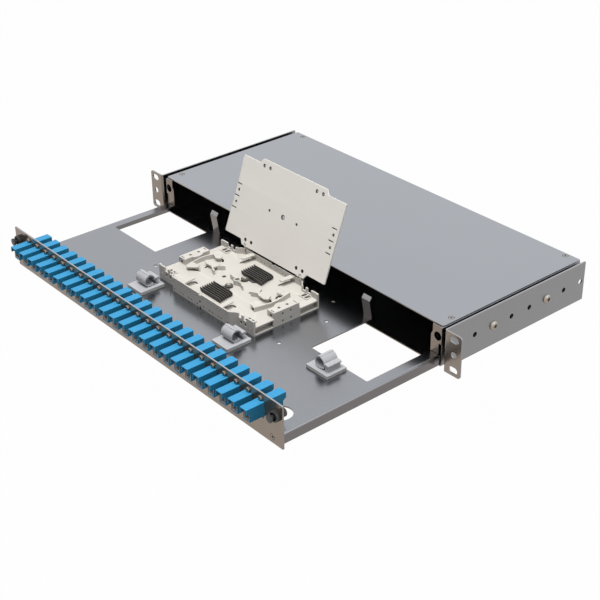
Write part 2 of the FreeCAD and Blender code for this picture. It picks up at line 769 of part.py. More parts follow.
def end_block():
    """Solid-looking cable entry block at the right end, seen from the cassette's centre."""
    outer = CASSETTE_LENGTH / 2
    inner = outer - CASSETTE_BLOCK_LENGTH
    half = CASSETTE_DEPTH * 0.194
    low = TRAY_FLOOR_TOP
    block = box(inner, outer, -half, half, low, WALL_TOP)
    nose = peg(6.2, (inner + 3.6, 0, FLOOR_TOP - CASSETTE_FLOOR), (inner + 3.6, 0, WALL_TOP), HEAD_SIDES)
    hollow = box(inner + CASSETTE_WALL, outer - CASSETTE_WALL, -half + CASSETTE_WALL,
                 half - CASSETTE_WALL, low - 1, FLOOR_TOP - CASSETTE_FLOOR)
    tools = [hollow]
    for v in (-5.0, 5.0):
        tools.append(peg(1.2, (inner + 5.0, v, FLOOR_TOP), (inner + 5.0, v, WALL_TOP + 1)))
        for z in (low + 3.8, WALL_TOP - 4.0):
            tools.append(peg(1.0, (outer - 4, v, z), (outer + 1, v, z)))
    for v in (-half + 2.4, half - 2.4):
        tools.append(box(inner + 3.4, inner + 8.4, v - 0.5, v + 0.5, WALL_TOP - 3, WALL_TOP + 1))
    for v in (-half - 1, half - 2.0):
        tools.append(box(inner + 6.0, inner + 9.0, v, v + 3.0, WALL_TOP - 7, WALL_TOP - 3))
    return join([block, nose]), tools


def guide_arc():
    """Curved fibre guide wall with a flat retaining tab at each end."""
    centre = (22.0, 1.5)
    radius = 36.0
    thick = 1.4
    ring = rod(radius + thick / 2, (centre[0], centre[1], FLOOR_TOP - 0.4),
               (centre[0], centre[1], GUIDE_TOP))
    ring = ring.cut(rod(radius - thick / 2, (centre[0], centre[1], FLOOR_TOP - 1),
                        (centre[0], centre[1], GUIDE_TOP + 1)))
    window = box(49.5, 70.0, -20.5, 22.0, FLOOR_TOP - 2, GUIDE_TOP + 2)
    wall = ring.common(window)
    front_tab = prism([(43.0, -19.6, -2.4), (51.5, -20.4), (53.6, -12.6), (43.0, -12.0, -2.4)],
                      "z", GUIDE_TOP - 1.3, GUIDE_TOP)
    rear_tab = prism([(43.0, 13.8, -2.4), (52.8, 14.6), (52.2, 21.8), (43.0, 21.0, -2.4)],
                     "z", GUIDE_TOP - 1.3, GUIDE_TOP)
    return join([wall, front_tab, rear_tab])


def guide_fork():
    """Y-shaped guide: two short walls under one rounded tab."""
    tab = prism([(27.5, 7.0), (33.0, 2.8), (31.0, -0.8), (44.5, -2.4, -1.8), (46.4, 4.4, -1.8), (35.5, 6.0)],
                "z", GUIDE_TOP - 1.3, GUIDE_TOP)
    low = FLOOR_TOP - 0.4
    stem = prism([(24.4, -4.0), (25.6, -5.0), (34.2, 1.0), (33.2, 2.2)], "z", low, GUIDE_TOP)
    branch = prism([(26.6, 7.2), (32.4, 0.8), (33.8, 1.8), (28.2, 8.4)], "z", low, GUIDE_TOP)
    return join([tab, stem, branch])


def wall_tab(u, side):
    """Straight retaining tab reaching inward from the long wall at height of its rim."""
    outer = side * (CASSETTE_DEPTH / 2 + CASSETTE_BULGE - CASSETTE_WALL / 2)
    inner = side * (CASSETTE_DEPTH / 2 + CASSETTE_BULGE - CASSETTE_WALL - CASSETTE_TAB_REACH)
    low = min(outer, inner)
    high = max(outer, inner)
    soft = [(u - 4.4, low), (u + 4.4, low), (u + 4.4, high), (u - 4.4, high)]
    if side < 0:
        corners = [soft[0], soft[1], soft[2] + (-2.4,), soft[3] + (-2.4,)]
    else:
        corners = [soft[0] + (-2.4,), soft[1] + (-2.4,), soft[2], soft[3]]
    return prism(corners, "z", WALL_TOP - 1.3, WALL_TOP)


def cassette():
    low = TRAY_FLOOR_TOP
    walls = prism(cassette_outline(0.0), "z", low, WALL_TOP)
    walls = walls.cut(prism(cassette_outline(CASSETTE_WALL), "z", low - 1, WALL_TOP + 1))
    length = CASSETTE_LENGTH / 2
    depth = CASSETTE_DEPTH / 2
    bulge = depth + CASSETTE_BULGE
    post = 5.0
    openings = []
    for side in (-1, 1):
        a = min(side * (length - 3), side * (length + 1))
        b = max(side * (length - 3), side * (length + 1))
        openings.append(box(a, b, -depth + post, depth - post, FLOOR_TOP, WALL_TOP + 1))
        openings.append(box(a, b, -depth + CASSETTE_WALL, depth - CASSETTE_WALL,
                            low + 1.2, FLOOR_TOP - CASSETTE_FLOOR))
        for corner in (-1, 1):
            for start, end in CASSETTE_NOTCHES:
                u0 = min(side * start, side * end)
                v0 = min(corner * (depth - 3), corner * (depth + 1))
                openings.append(box(u0, u0 + end - start, v0, v0 + 4, WALL_TOP - 4.2, WALL_TOP + 1))
        v1 = min(side * (bulge - 3), side * (bulge + 1))
        openings.append(box(-1.6, 1.6, v1, v1 + 4, WALL_TOP - 1.6, WALL_TOP + 1))
        for z in (low + 4.0, low + 9.4):
            openings.append(box(-1.1, 1.1, v1, v1 + 4, z, z + 2.2))
    walls = cut(walls, openings)
    floor = prism(cassette_outline(CASSETTE_WALL / 2), "z", FLOOR_TOP - CASSETTE_FLOOR, FLOOR_TOP)
    block, block_tools = end_block()
    pieces = [walls, floor, block, turned(block, 180), guide_arc(), turned(guide_arc(), 180),
              guide_fork(), turned(guide_fork(), 180)]
    for u in (-31.0, 31.0):
        for side in (-1, 1):
            pieces.append(wall_tab(u, side))
    pieces.append(peg(4.0, (0, 0, FLOOR_TOP - 0.4), (0, 0, GUIDE_TOP + 0.6), HEAD_SIDES))
    wing = prism([(0.0, 0.8), (-CASSETTE_WING_REACH, 2.2), (-CASSETTE_WING_REACH, 3.0), (-2.0, 3.4)],
                 "z", FLOOR_TOP - 0.4, GUIDE_TOP)
    pieces.extend([wing, turned(wing, 180)])
    for u in cassette_screw_points():
        pieces.append(peg(3.2, (u, 0, low), (u, 0, FLOOR_TOP - 0.4)))
    for u, v in corner_posts():
        pieces.append(box(u - 3.6, u + 3.6, v - 2.2, v + 2.2, FLOOR_TOP - 0.4, WALL_TOP))
    for side in (-1, 1):
        pieces.extend(hinge_lugs(side))
    body = join(pieces)
    tools = list(block_tools)
    tools.extend([turned(t, 180) for t in block_tools])
    tools.append(peg(2.6, (0, 0, low - 1), (0, 0, WALL_TOP), HEAD_SIDES))
    for u, v in ((-23.4, 0.0), (18.8, 0.0), (23.4, 14.5), (-23.4, -14.5)):
        tools.append(peg(1.6, (u, v, FLOOR_TOP - 3), (u, v, FLOOR_TOP + 3)))
    for u in cassette_screw_points():
        tools.append(peg(M3_RADIUS, (u, 0, low - 1), (u, 0, low + 6.5)))
    for u in (-31.0, 31.0):
        for side in (-1, 1):
            v = side * (bulge - CASSETTE_WALL - 8.0)
            tools.append(plate(u - 3.0, u + 5.0, v - 5.5, v + 5.5, FLOOR_TOP - 3, FLOOR_TOP + 1, -1.4))
    for turn in (0, 180):
        for u, v in ((46.5, -16.0), (46.5, 17.5), (38.5, 1.5)):
            slot = plate(u - 3.6, u + 3.6, v - 2.4, v + 2.4, FLOOR_TOP - 3, FLOOR_TOP + 1, -1.2)
            tools.append(turned(slot, turn))
    for u, v in corner_posts():
        for du in (-1.7, 1.7):
            tools.append(box(u + du - 0.9, u + du + 0.9, v - 1.4, v + 1.4, WALL_TOP - 3, WALL_TOP + 1))
    body = cut(body, tools)
    body = moved(body, 0, CASSETTE_Y)
    for side in (-1, 1):
        body = body.cut(rod(LID_PIN_RADIUS + PIN_CLEARANCE, (side * (LID_LUG_X - 4), PIN_Y, PIN_Z),
                            (side * (LID_LUG_X + 4), PIN_Y, PIN_Z)))
    return body


def corner_posts():
    u = CASSETTE_LENGTH / 2 - 6.6
    v = CASSETTE_DEPTH / 2 - 3.6
    return [(-u, -v), (u, -v), (-u, v), (u, v)]


def hinge_lugs(side):
    """Ears on the rear wall that carry the lid's pivot pins, in the cassette's own frame."""
    rear = CASSETTE_DEPTH / 2 + CASSETTE_BULGE
    half = LID_LUG_WIDTH / 2
    radius = LID_PIN_RADIUS + 1.1
    u = side * LID_LUG_X
    eye = peg(radius, (u - half, rear, PIN_Z), (u + half, rear, PIN_Z), HEAD_SIDES)
    foot = box(u - half, u + half, rear - CASSETTE_WALL, rear + radius, WALL_TOP - 4.0, PIN_Z)
    return [eye, foot]


def lid():
    """Lid in its closed place, then swung open about its pivot."""
    half = LID_LENGTH / 2
    main = CASSETTE_DEPTH / 2 + 0.6
    reach = CASSETTE_DEPTH / 2 + CASSETTE_BULGE
    tab = LID_TAB_HALF
    foot = tab + 3.4
    sheet = prism([
        (-half, -main), (-foot, -main), (-tab, -reach, -1.0), (tab, -reach, -1.0),
        (foot, -main), (half, -main), (half, main), (foot, main),
        (tab, reach, -1.0), (-tab, reach, -1.0), (-foot, main), (-half, main),
    ], "z", 0.0, LID_SHEET)
    tools = [peg(2.4, (0, 0, -1), (0, 0, LID_SHEET + 1))]
    for u in (-16.5, 16.5):
        tools.append(peg(1.1, (u, 0, -1), (u, 0, LID_SHEET + 1)))
    for u in (-43.5, -36.0, 36.0, 43.5):
        for v in (-reach + 6.4, reach - 6.4):
            tools.append(peg(1.2, (u, v, -1), (u, v, LID_SHEET + 1)))
    for side in (-1, 1):
        u = side * (half - 4.0)
        for v in (-19.0, 0.0, 19.0):
            tools.append(box(u - 2.8, u + 2.8, v - 0.5, v + 0.5, -1, LID_SHEET + 1))
        for v in (-8.5, 8.5):
            tools.append(peg(1.1, (u, v, -1), (u, v, LID_SHEET + 1)))
        lug = side * LID_LUG_X
        gap = LID_LUG_WIDTH / 2 + RUN_GAP
        tools.append(box(lug - gap, lug + gap, reach - LID_PIN_RADIUS - 1.6, reach + 1, -1, LID_SHEET + 1))
    sheet = cut(sheet, tools)
    pieces = [sheet]
    for side in (-1, 1):
        inner = LID_LUG_X - LID_LUG_WIDTH / 2 - RUN_GAP
        outer = LID_LUG_X + LID_LUG_WIDTH / 2
        knuckle_in = side * (inner - 5.5)
        pieces.append(rod(LID_KNUCKLE_RADIUS, (knuckle_in, reach, LID_PIN_RISE),
                          (side * inner, reach, LID_PIN_RISE)))
        pieces.append(rod(LID_PIN_RADIUS, (side * (inner - 1), reach, LID_PIN_RISE),
                          (side * outer, reach, LID_PIN_RISE)))
        web_low = min(knuckle_in, side * inner)
        pieces.append(box(web_low, web_low + 5.5, reach - LID_KNUCKLE_RADIUS, reach,
                          LID_SHEET / 2, LID_PIN_RISE))
    body = join(pieces)
    body = moved(body, 0, CASSETTE_Y, WALL_TOP + RUN_GAP)
    body.rotate(V(0, PIN_Y, PIN_Z), V(1, 0, 0), -LID_OPEN_ANGLE)
    return body


def splice_comb(turn):
    """Splice protector holder: thin fins along the cassette on a base with a screw ear."""
    half = COMB_LENGTH / 2
    depth = COMB_FIN_PITCH * (COMB_FINS - 1) + COMB_FIN
    front = COMB_FRONT
    screw_u, screw_v = COMB_SCREW_PLACE
    z0 = FLOOR_TOP
    pieces = [box(-half + 2, half + 2, front, front + depth, z0, z0 + COMB_BASE)]
    for k in range(COMB_FINS):
        v = front + k * COMB_FIN_PITCH
        skew = 0.5 * k
        pieces.append(box(-half + skew, half + 2.0 - skew * 0.4, v, v + COMB_FIN, z0, z0 + COMB_RISE))
    pieces.append(peg(COMB_EAR_RADIUS, (screw_u, screw_v, z0), (screw_u, screw_v, z0 + 2.2)))
    pieces.append(box(screw_u - COMB_EAR_RADIUS, screw_u + COMB_EAR_RADIUS, front + depth - 0.5, screw_v,
                      z0, z0 + COMB_BASE))
    body = join(pieces)
    body = body.cut(peg(1.25, (screw_u, screw_v, z0 - 1), (screw_u, screw_v, z0 + 4)))
    return moved(turned(body, turn), 0, CASSETTE_Y)


def comb_screw(turn):
    z0 = FLOOR_TOP
    screw_u, screw_v = COMB_SCREW_PLACE
    head = peg(2.2, (screw_u, screw_v, z0 + 2.2), (screw_u, screw_v, z0 + 3.6))
    shank = peg(1.25, (screw_u, screw_v, z0), (screw_u, screw_v, z0 + 2.2))
    return moved(turned(head.fuse(shank), turn), 0, CASSETTE_Y)


def cassette_screw(u):
    under = TRAY_FLOOR_TOP - TRAY_SHEET
    head = peg(2.8, (u, CASSETTE_Y, under - 1.8), (u, CASSETTE_Y, under))
    shank = peg(M3_RADIUS, (u, CASSETTE_Y, under), (u, CASSETTE_Y, TRAY_FLOOR_TOP + 6.0))
    return head.fuse(shank)


# Cable clips, drawn along X about the origin with the tongue towards +Y

def clip_pad():
    return plate(-CLIP_BASE_WIDTH / 2, CLIP_BASE_WIDTH / 2, -CLIP_BASE_LENGTH / 2, CLIP_BASE_LENGTH / 2,
                 0.0, CLIP_PAD, -0.8)


def sector(radius, wall, start, end, half_length, height):
    """Part of a tube along X between two angles, measured from +Y towards +Z."""
    steps = 6
    tube = rod(radius, (-half_length, 0, height), (half_length, 0, height))
    tube = tube.cut(rod(radius - wall, (-half_length - 1, 0, height), (half_length + 1, 0, height)))
    corners = [(0.0, height)]
    for k in range(steps + 1):
        angle = math.radians(start + (end - start) * k / steps)
        corners.append((2 * radius * math.cos(angle), height + 2 * radius * math.sin(angle)))
    wedge = prism(corners, "x", -half_length - 1, half_length + 1)
    return tube.common(wedge)


def clip_base():
    z0 = CLIP_PAD
    top = z0 + CLIP_BASE
    centre = top + CLIP_RING_LIFT
    half = CLIP_RING_LENGTH / 2
    base = plate(-CLIP_BASE_WIDTH / 2, CLIP_BASE_WIDTH / 2, -CLIP_BASE_LENGTH / 2, CLIP_BASE_LENGTH / 2,
                 z0, top, -0.8)
    saddle = sector(CLIP_RING_RADIUS, CLIP_RING_WALL, 168.0, 318.0, half, centre)
    foot = box(-half, half, -2.6, 2.6, top, centre - CLIP_RING_RADIUS + CLIP_RING_WALL * 0.6)
    post = prism([
        (CLIP_RING_RADIUS + 1.6, top),
        (CLIP_RING_RADIUS + 3.4, top),
        (CLIP_RING_RADIUS + 3.4, centre - 2.2),
        (CLIP_RING_RADIUS + 0.6, centre - 2.2, -0.4),
        (CLIP_RING_RADIUS + 0.6, centre - 3.4),
        (CLIP_RING_RADIUS + 1.6, centre - 3.8),
    ], "x", -half, half)
    return join([base, saddle, foot, post])


def clip_strap():
    centre = CLIP_PAD + CLIP_BASE + CLIP_RING_LIFT
    half = CLIP_RING_LENGTH / 2
    gap = math.degrees(RUN_GAP / (CLIP_RING_RADIUS - CLIP_RING_WALL))
    strap = sector(CLIP_RING_RADIUS, CLIP_RING_WALL, -8.0, 168.0 - gap, half, centre)
    tongue = prism([
        (CLIP_RING_RADIUS - CLIP_RING_WALL * 0.8, centre - 1.2),
        (CLIP_RING_RADIUS + 5.2, centre - 1.2, -0.6),
        (CLIP_RING_RADIUS + 5.2, centre + 1.4, -0.8),
        (CLIP_RING_RADIUS - CLIP_RING_WALL * 0.4, centre + 1.4),
    ], "x", -half, half)
    rib = prism([
        (-1.8, centre + CLIP_RING_RADIUS - 0.6),
        (1.8, centre + CLIP_RING_RADIUS - 0.6),
        (1.4, centre + CLIP_RING_RADIUS + 0.7),
        (-1.4, centre + CLIP_RING_RADIUS + 0.7),
    ], "x", -half, half)
    return join([strap, tongue, rib])


def placed_clip(shape, index):
    x, y, turn = CLIPS[index]
    return moved(turned(shape, turn), x, y, TRAY_FLOOR_TOP)


os.makedirs("parts", exist_ok=True)

bracket = rack_bracket_right()
save("rack_bracket_right", bracket)
save("rack_bracket_left", mirrored(bracket))
side_places = [(side, side_hole_y(index)) for side in (-1, 1) for index in SIDE_SCREW_SLOTS]
save("bracket_screws", Part.makeCompound([side_screw(side, y) for side, y in side_places]))
save("bracket_spacers", Part.makeCompound([side_spacer(side, y) for side, y in side_places]))

save("housing_shell", housing_shell())
save("rear_wall", rear_wall())
save("latch_plates", Part.makeCompound(both_sides(latch_plate)))
save("top_cover", top_cover())
save("cable_grommets", Part.makeCompound([cable_grommet(x) for x in cable_entries()]))
save("cover_screws", Part.makeCompound([
    flat_screw(M3_RADIUS, M3_HEAD_RADIUS, COVER_SHEET, 6.0, x, y, COVER_TOP, (0, 0, -1))
    for x, y in cover_screw_points()
]))

save("tray", tray())
save("front_panel", front_panel())
save("panel_screws", Part.makeCompound([
    flat_screw(M3_RADIUS, M3_HEAD_RADIUS, PANEL_SHEET, 7.0, side * x, TRAY_FRONT, PANEL_SCREW_HEIGHT,
               (0, 1, 0))
    for side in (-1, 1) for x in PANEL_SCREW_X
]))
for port in range(PORT_COUNT):
    save("adapter_%02d" % (port + 1), adapter(port))
save("adapter_inserts", Part.makeCompound([adapter_insert(port) for port in range(PORT_COUNT)]))
save("adapter_screws", Part.makeCompound([port_screw(x, z) for x, z in port_screw_points()]))

save("latch_sleeves", Part.makeCompound(both_sides(latch_sleeve)))
save("plunger_left", latch_plunger(-1))
save("plunger_right", latch_plunger(1))

save("cassette", cassette())
save("cassette_screws", Part.makeCompound([cassette_screw(u) for u in cassette_screw_points()]))
save("lid", lid())
save("splice_comb_front", splice_comb(0))
save("splice_comb_rear", splice_comb(180))
save("comb_screws", Part.makeCompound([comb_screw(0), comb_screw(180)]))

save("clip_pads", Part.makeCompound([placed_clip(clip_pad(), k) for k in range(len(CLIPS))]))
for k in range(len(CLIPS)):
    save("clip_base_%d" % (k + 1), placed_clip(clip_base(), k))
    save("clip_strap_%d" % (k + 1), placed_clip(clip_strap(), k))
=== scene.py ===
import math

import bmesh
import bpy
from mathutils import Matrix, Vector


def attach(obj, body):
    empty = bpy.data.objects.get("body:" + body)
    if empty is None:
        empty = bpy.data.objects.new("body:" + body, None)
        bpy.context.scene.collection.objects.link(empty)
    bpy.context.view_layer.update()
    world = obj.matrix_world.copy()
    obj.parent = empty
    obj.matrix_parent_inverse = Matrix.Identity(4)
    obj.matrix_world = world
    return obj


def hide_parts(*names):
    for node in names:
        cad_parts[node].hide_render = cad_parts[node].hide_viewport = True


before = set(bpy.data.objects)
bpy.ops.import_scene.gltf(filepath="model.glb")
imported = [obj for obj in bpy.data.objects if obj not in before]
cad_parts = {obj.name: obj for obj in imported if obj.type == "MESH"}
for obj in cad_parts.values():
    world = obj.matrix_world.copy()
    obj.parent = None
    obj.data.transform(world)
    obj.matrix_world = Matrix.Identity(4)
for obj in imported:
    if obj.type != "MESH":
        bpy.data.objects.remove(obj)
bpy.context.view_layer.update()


# Studio: a pale floor well below the unit, which its rack ears hold up, a white
# surround and large soft boxes. The floor is a flat sheet, so it takes one quad.

def node(tree, kind, values=(), **settings):
    """New shader node with its settings, and its inputs set from (socket, value) pairs."""
    made = tree.nodes.new("ShaderNode" + kind)
    for setting, value in settings.items():
        setattr(made, setting, value)
    for socket, value in values:
        made.inputs[socket].default_value = value
    return made


def wire(tree, *links):
    """Joins one node's output to another's input, for each (node, output, node, input)."""
    for giver, output, taker, socket in links:
        tree.links.new(giver.outputs[output], taker.inputs[socket])


def seen_directly(tree):
    """Node that gives one for rays from the camera, off gloss or through glass, else nought."""
    path = node(tree, "LightPath")
    camera_or_gloss = node(tree, "Math", operation="MAXIMUM")
    any_of_them = node(tree, "Math", operation="MAXIMUM")
    wire(tree, (path, "Is Camera Ray", camera_or_gloss, 0), (path, "Is Glossy Ray", camera_or_gloss, 1),
         (camera_or_gloss, 0, any_of_them, 0), (path, "Is Transmission Ray", any_of_them, 1))
    return any_of_them


FLOOR_HALF, FLOOR_HEIGHT = 12.0, -0.16
floor_mesh = bpy.data.meshes.new("floor")
floor_mesh.from_pydata([(x * FLOOR_HALF, y * FLOOR_HALF, FLOOR_HEIGHT)
                        for x, y in ((-1, -1), (1, -1), (1, 1), (-1, 1))], [], [(0, 1, 2, 3)])
floor = bpy.data.objects.new("floor", floor_mesh)
bpy.context.collection.objects.link(floor)
floor_paint = bpy.data.materials.new("floor_paint")
floor_paint.use_nodes = True
tree = floor_paint.node_tree
tree.nodes.clear()
matt = node(tree, "BsdfDiffuse", [("Color", (0.34, 0.33, 0.32, 1))])
glow = node(tree, "Emission", [("Color", (1.0, 1.0, 1.0, 1)), ("Strength", 1.0)])
glow_share = node(tree, "Math", [(1, 0.985)], operation="MULTIPLY")
floor_mix = node(tree, "MixShader")
wire(tree, (seen_directly(tree), 0, glow_share, 0), (glow_share, 0, floor_mix, "Fac"),
     (matt, 0, floor_mix, 1), (glow, 0, floor_mix, 2),
     (floor_mix, 0, node(tree, "OutputMaterial"), "Surface"))
floor.data.materials.append(floor_paint)

world = bpy.data.worlds.new("surround")
bpy.context.scene.world = world
world.use_nodes = True
tree = world.node_tree
tree.nodes.clear()
room = node(tree, "Background", [("Color", (0.93, 0.96, 1.0, 1)), ("Strength", 0.18)])
white = node(tree, "Background", [("Color", (1, 1, 1, 1)), ("Strength", 1.0)])
room_mix = node(tree, "MixShader")
wire(tree, (seen_directly(tree), 0, room_mix, "Fac"), (room, 0, room_mix, 1), (white, 0, room_mix, 2),
     (room_mix, 0, node(tree, "OutputWorld"), "Surface"))


def soft_box(name, place, size, watts, tint):
    lamp = bpy.data.lights.new(name, "AREA")
    lamp.shape = "RECTANGLE"
    lamp.size = size[0]
    lamp.size_y = size[1]
    lamp.energy = watts
    lamp.color = tint
    holder = bpy.data.objects.new(name, lamp)
    holder.location = place
    holder.rotation_euler = (Vector((0, 0, 0)) - Vector(place)).to_track_quat("-Z", "Y").to_euler()
    holder.visible_camera = False
    bpy.context.collection.objects.link(holder)
    return holder


# Bare metal shows the white surround rather than this large box, so its tone stays even.
overhead = soft_box("overhead_box", (0.35, -0.55, 2.15), (1.4, 1.4), 62, (0.98, 0.99, 1.0))
overhead.visible_glossy = False
soft_box("side_box", (2.0, 0.5, 1.2), (1.6, 1.2), 6, (0.97, 0.98, 1.0))


# Camera: the photograph's own angle, right of the front panel and 30 degrees up,
# with a long lens. Its roll is that of the photograph.

CAMERA_PLACE = Vector((0.91145, -0.74473, 0.63727))
AZIMUTH, ELEVATION, ROLL = math.radians(50.18), math.radians(30.04), math.radians(-0.79)
LENS = 79.1
towards = Vector((math.sin(AZIMUTH) * math.cos(ELEVATION), -math.cos(AZIMUTH) * math.cos(ELEVATION),
                  math.sin(ELEVATION)))
right = Vector((math.cos(AZIMUTH), math.sin(AZIMUTH), 0))
up = towards.cross(right)
right_rolled = right * math.cos(ROLL) + up * math.sin(ROLL)
up_rolled = up * math.cos(ROLL) - right * math.sin(ROLL)
lens = bpy.data.cameras.new("camera")
lens.lens = LENS
lens.sensor_width = 36
lens.clip_end = 60
camera = bpy.data.objects.new("camera", lens)
camera.matrix_world = Matrix((
    (right_rolled.x, up_rolled.x, towards.x, CAMERA_PLACE.x),
    (right_rolled.y, up_rolled.y, towards.y, CAMERA_PLACE.y),
    (right_rolled.z, up_rolled.z, towards.z, CAMERA_PLACE.z),
    (0, 0, 0, 1),
))
bpy.context.collection.objects.link(camera)
bpy.context.scene.camera = camera
bpy.context.scene.view_settings.view_transform = "Standard"


# Housing shell: one folded sheet of plated steel, floor, sides and top lips, with the
# rear wall and the two latch plates spot-welded in. Sheets are cut flat and then folded.

MM = 0.001


def outline(corners, steps=5):
    """Closed loop through (a, b) or (a, b, radius) corners, in millimetres."""
    loop = []
    for i, corner in enumerate(corners):
        here = Vector(corner[:2])
        radius = corner[2] if len(corner) > 2 else 0
        if not radius:
            loop.append(here)
            continue
        back = (Vector(corners[i - 1][:2]) - here).normalized()
        ahead = (Vector(corners[(i + 1) % len(corners)][:2]) - here).normalized()
        half = back.angle(ahead) / 2
        start = here + back * radius / math.tan(half)
        end = here + ahead * radius / math.tan(half)
        centre = here + (back + ahead).normalized() * radius / math.sin(half)
        first = math.atan2(start.y - centre.y, start.x - centre.x)
        turn = math.atan2(end.y - centre.y, end.x - centre.x) - first
        turn = (turn + math.pi) % (2 * math.pi) - math.pi
        for k in range(steps + 1):
            angle = first + turn * k / steps
            loop.append(centre + Vector((math.cos(angle), math.sin(angle))) * radius)
    return loop


def rectangle(a0, a1, b0, b1, radius=0.0):
    return outline([(a0, b0, radius), (a1, b0, radius), (a1, b1, radius), (a0, b1, radius)], 3)


def circle(a, b, radius, count=20):
    return [Vector((a + radius * math.cos(2 * math.pi * k / count),
                    b + radius * math.sin(2 * math.pi * k / count))) for k in range(count)]


def slotted(a, b, length, width, degrees=0.0):
    """Loop of a round-ended slot centred on (a, b)."""
    reach = (length - width) / 2
    tilt = math.radians(degrees)
    loop = []
    for end in (1, -1):
        for k in range(7):
            angle = math.pi * (k / 6 - 0.5) + (0 if end > 0 else math.pi)
            u = end * reach + width / 2 * math.cos(angle)
            v = width / 2 * math.sin(angle)
            loop.append(Vector((a + u * math.cos(tilt) - v * math.sin(tilt),
                                b + u * math.sin(tilt) + v * math.cos(tilt))))
    return loop


def plate(outer, holes, low, high, axis="z", soft=0.15):
    """Flat solid cut to a loop with holes, its edges rounded by soft millimetres."""
    cut = bpy.data.curves.new("cut", "CURVE")
    cut.dimensions = "2D"
    cut.fill_mode = "BOTH"
    soft = min(soft, (high - low) * 0.3)
    cut.extrude = (high - low) / 2 - soft
    cut.bevel_depth = soft
    cut.bevel_resolution = 1
    cut.offset = -soft
    for loop in [outer] + list(holes):
        spline = cut.splines.new("POLY")
        spline.points.add(len(loop) - 1)
        for spot, corner in zip(spline.points, loop):
            spot.co = (corner[0], corner[1], 0, 1)
        spline.use_cyclic_u = True
    holder = bpy.data.objects.new("cut", cut)
    mesh = bpy.data.meshes.new_from_object(holder)
    middle = (low + high) / 2
    points = [v.co.copy() for v in mesh.vertices]
    faces = [tuple(f.vertices) for f in mesh.polygons]
    bpy.data.objects.remove(holder)
    bpy.data.curves.remove(cut)
    bpy.data.meshes.remove(mesh)
    if axis == "x":
        points = [Vector((p.z + middle, p.x, p.y)) for p in points]
    elif axis == "y":
        points = [Vector((p.x, p.z + middle, p.y)) for p in points]
    else:
        points = [Vector((p.x, p.y, p.z + middle)) for p in points]
    return points, faces


def block(x0, x1, y0, y1, z0, z1, soft=0.2):
    return plate(rectangle(x0, x1, y0, y1), [], z0, z1, "z", soft)


def joined(shapes):
    points, faces = [], []
    for more_points, more_faces in shapes:
        start = len(points)
        points.extend(more_points)
        faces.extend(tuple(start + i for i in face) for face in more_faces)
    return points, faces


def flipped(shape):
    points, faces = shape
    return [Vector((-p.x, p.y, p.z)) for p in points], [tuple(reversed(f)) for f in faces]


def both(shape):
    return joined([shape, flipped(shape)])


def placed(shape, x=0.0, y=0.0, z=0.0, degrees=0.0):
    """Turned about Z and then moved, in millimetres."""
    spin = Matrix.Rotation(math.radians(degrees), 3, "Z")
    points, faces = shape
    return [spin @ p + Vector((x, y, z)) for p in points], faces


def bent(shape, cuts, move):
    """The shape, cut across X at the given places, with move applied to each of its points."""
    points, faces = shape
    work = bmesh.new()
    made = [work.verts.new(p) for p in points]
    for face in faces:
        work.faces.new([made[i] for i in face])
    bmesh.ops.remove_doubles(work, verts=work.verts, dist=0.002)
    for x in cuts:
        everything = work.verts[:] + work.edges[:] + work.faces[:]
        bmesh.ops.bisect_plane(work, geom=everything, dist=0.0001, plane_co=(x, 0, 0), plane_no=(1, 0, 0))
    for v in work.verts:
        move(v.co)
    work.verts.index_update()
    result = [v.co.copy() for v in work.verts], [tuple(v.index for v in f.verts) for f in work.faces]
    work.free()
    return result


def fold(shape, at, inner, thick, up=True):
    """Bends square what lies beyond x = at, as a press brake does; the sheet's middle is z = 0."""
    rho = inner + thick / 2
    arc = math.pi / 2 * rho
    side = 1 if up else -1

    def press(spot):
        run = spot.x - at
        if run <= 0:
            return
        turn = min(run, arc) / rho
        rest = max(run - arc, 0)
        arm = rho - side * spot.z
        spot.x = at + arm * math.sin(turn) + rest * math.cos(turn)
        spot.z = side * (rho - arm * math.cos(turn) + rest * math.sin(turn))

    return bent(shape, [at + arc * k / 5 for k in range(6)], press)


def folded_twice(shape, at, inner, thick, up=True):
    """The same fold at both sides."""
    right_done = fold(shape, at, inner, thick, up)
    return flipped(fold(flipped(right_done), at, inner, thick, up))


def lathe(profile, origin, axis, count):
    """Round piece from (radius, along) pairs about an axis through origin."""
    points, faces = [], []
    for radius, along in profile:
        for k in range(count):
            angle = 2 * math.pi * k / count
            a, b = radius * math.cos(angle), radius * math.sin(angle)
            if axis == "x":
                points.append(Vector((along, a, b)) + Vector(origin))
            elif axis == "y":
                points.append(Vector((a, along, b)) + Vector(origin))
            else:
                points.append(Vector((a, b, along)) + Vector(origin))
    for ring in range(len(profile) - 1):
        for k in range(count):
            here, after = ring * count + k, ring * count + (k + 1) % count
            faces.append((here, after, after + count, here + count))
    for ring in (0, len(profile) - 1):
        if profile[ring][0] > 0.001:
            faces.append(tuple(ring * count + k for k in range(count)))
    return points, faces


def turned_ring(profile, origin, axis, count):
    """Round piece, open along its axis, from a profile that runs back to its first point."""
    points, faces = lathe(profile + profile[:1], origin, axis, count)
    return points, faces[:-2]


def clean_mesh(name, points, faces, weld):
    """Mesh with its doubled points welded and its faces turned outwards."""
    mesh = bpy.data.meshes.new(name)
    mesh.from_pydata(points, [], faces)
    work = bmesh.new()
    work.from_mesh(mesh)
    bmesh.ops.remove_doubles(work, verts=work.verts, dist=weld)
    bmesh.ops.recalc_face_normals(work, faces=work.faces)
    work.to_mesh(mesh)
    work.free()
    return mesh


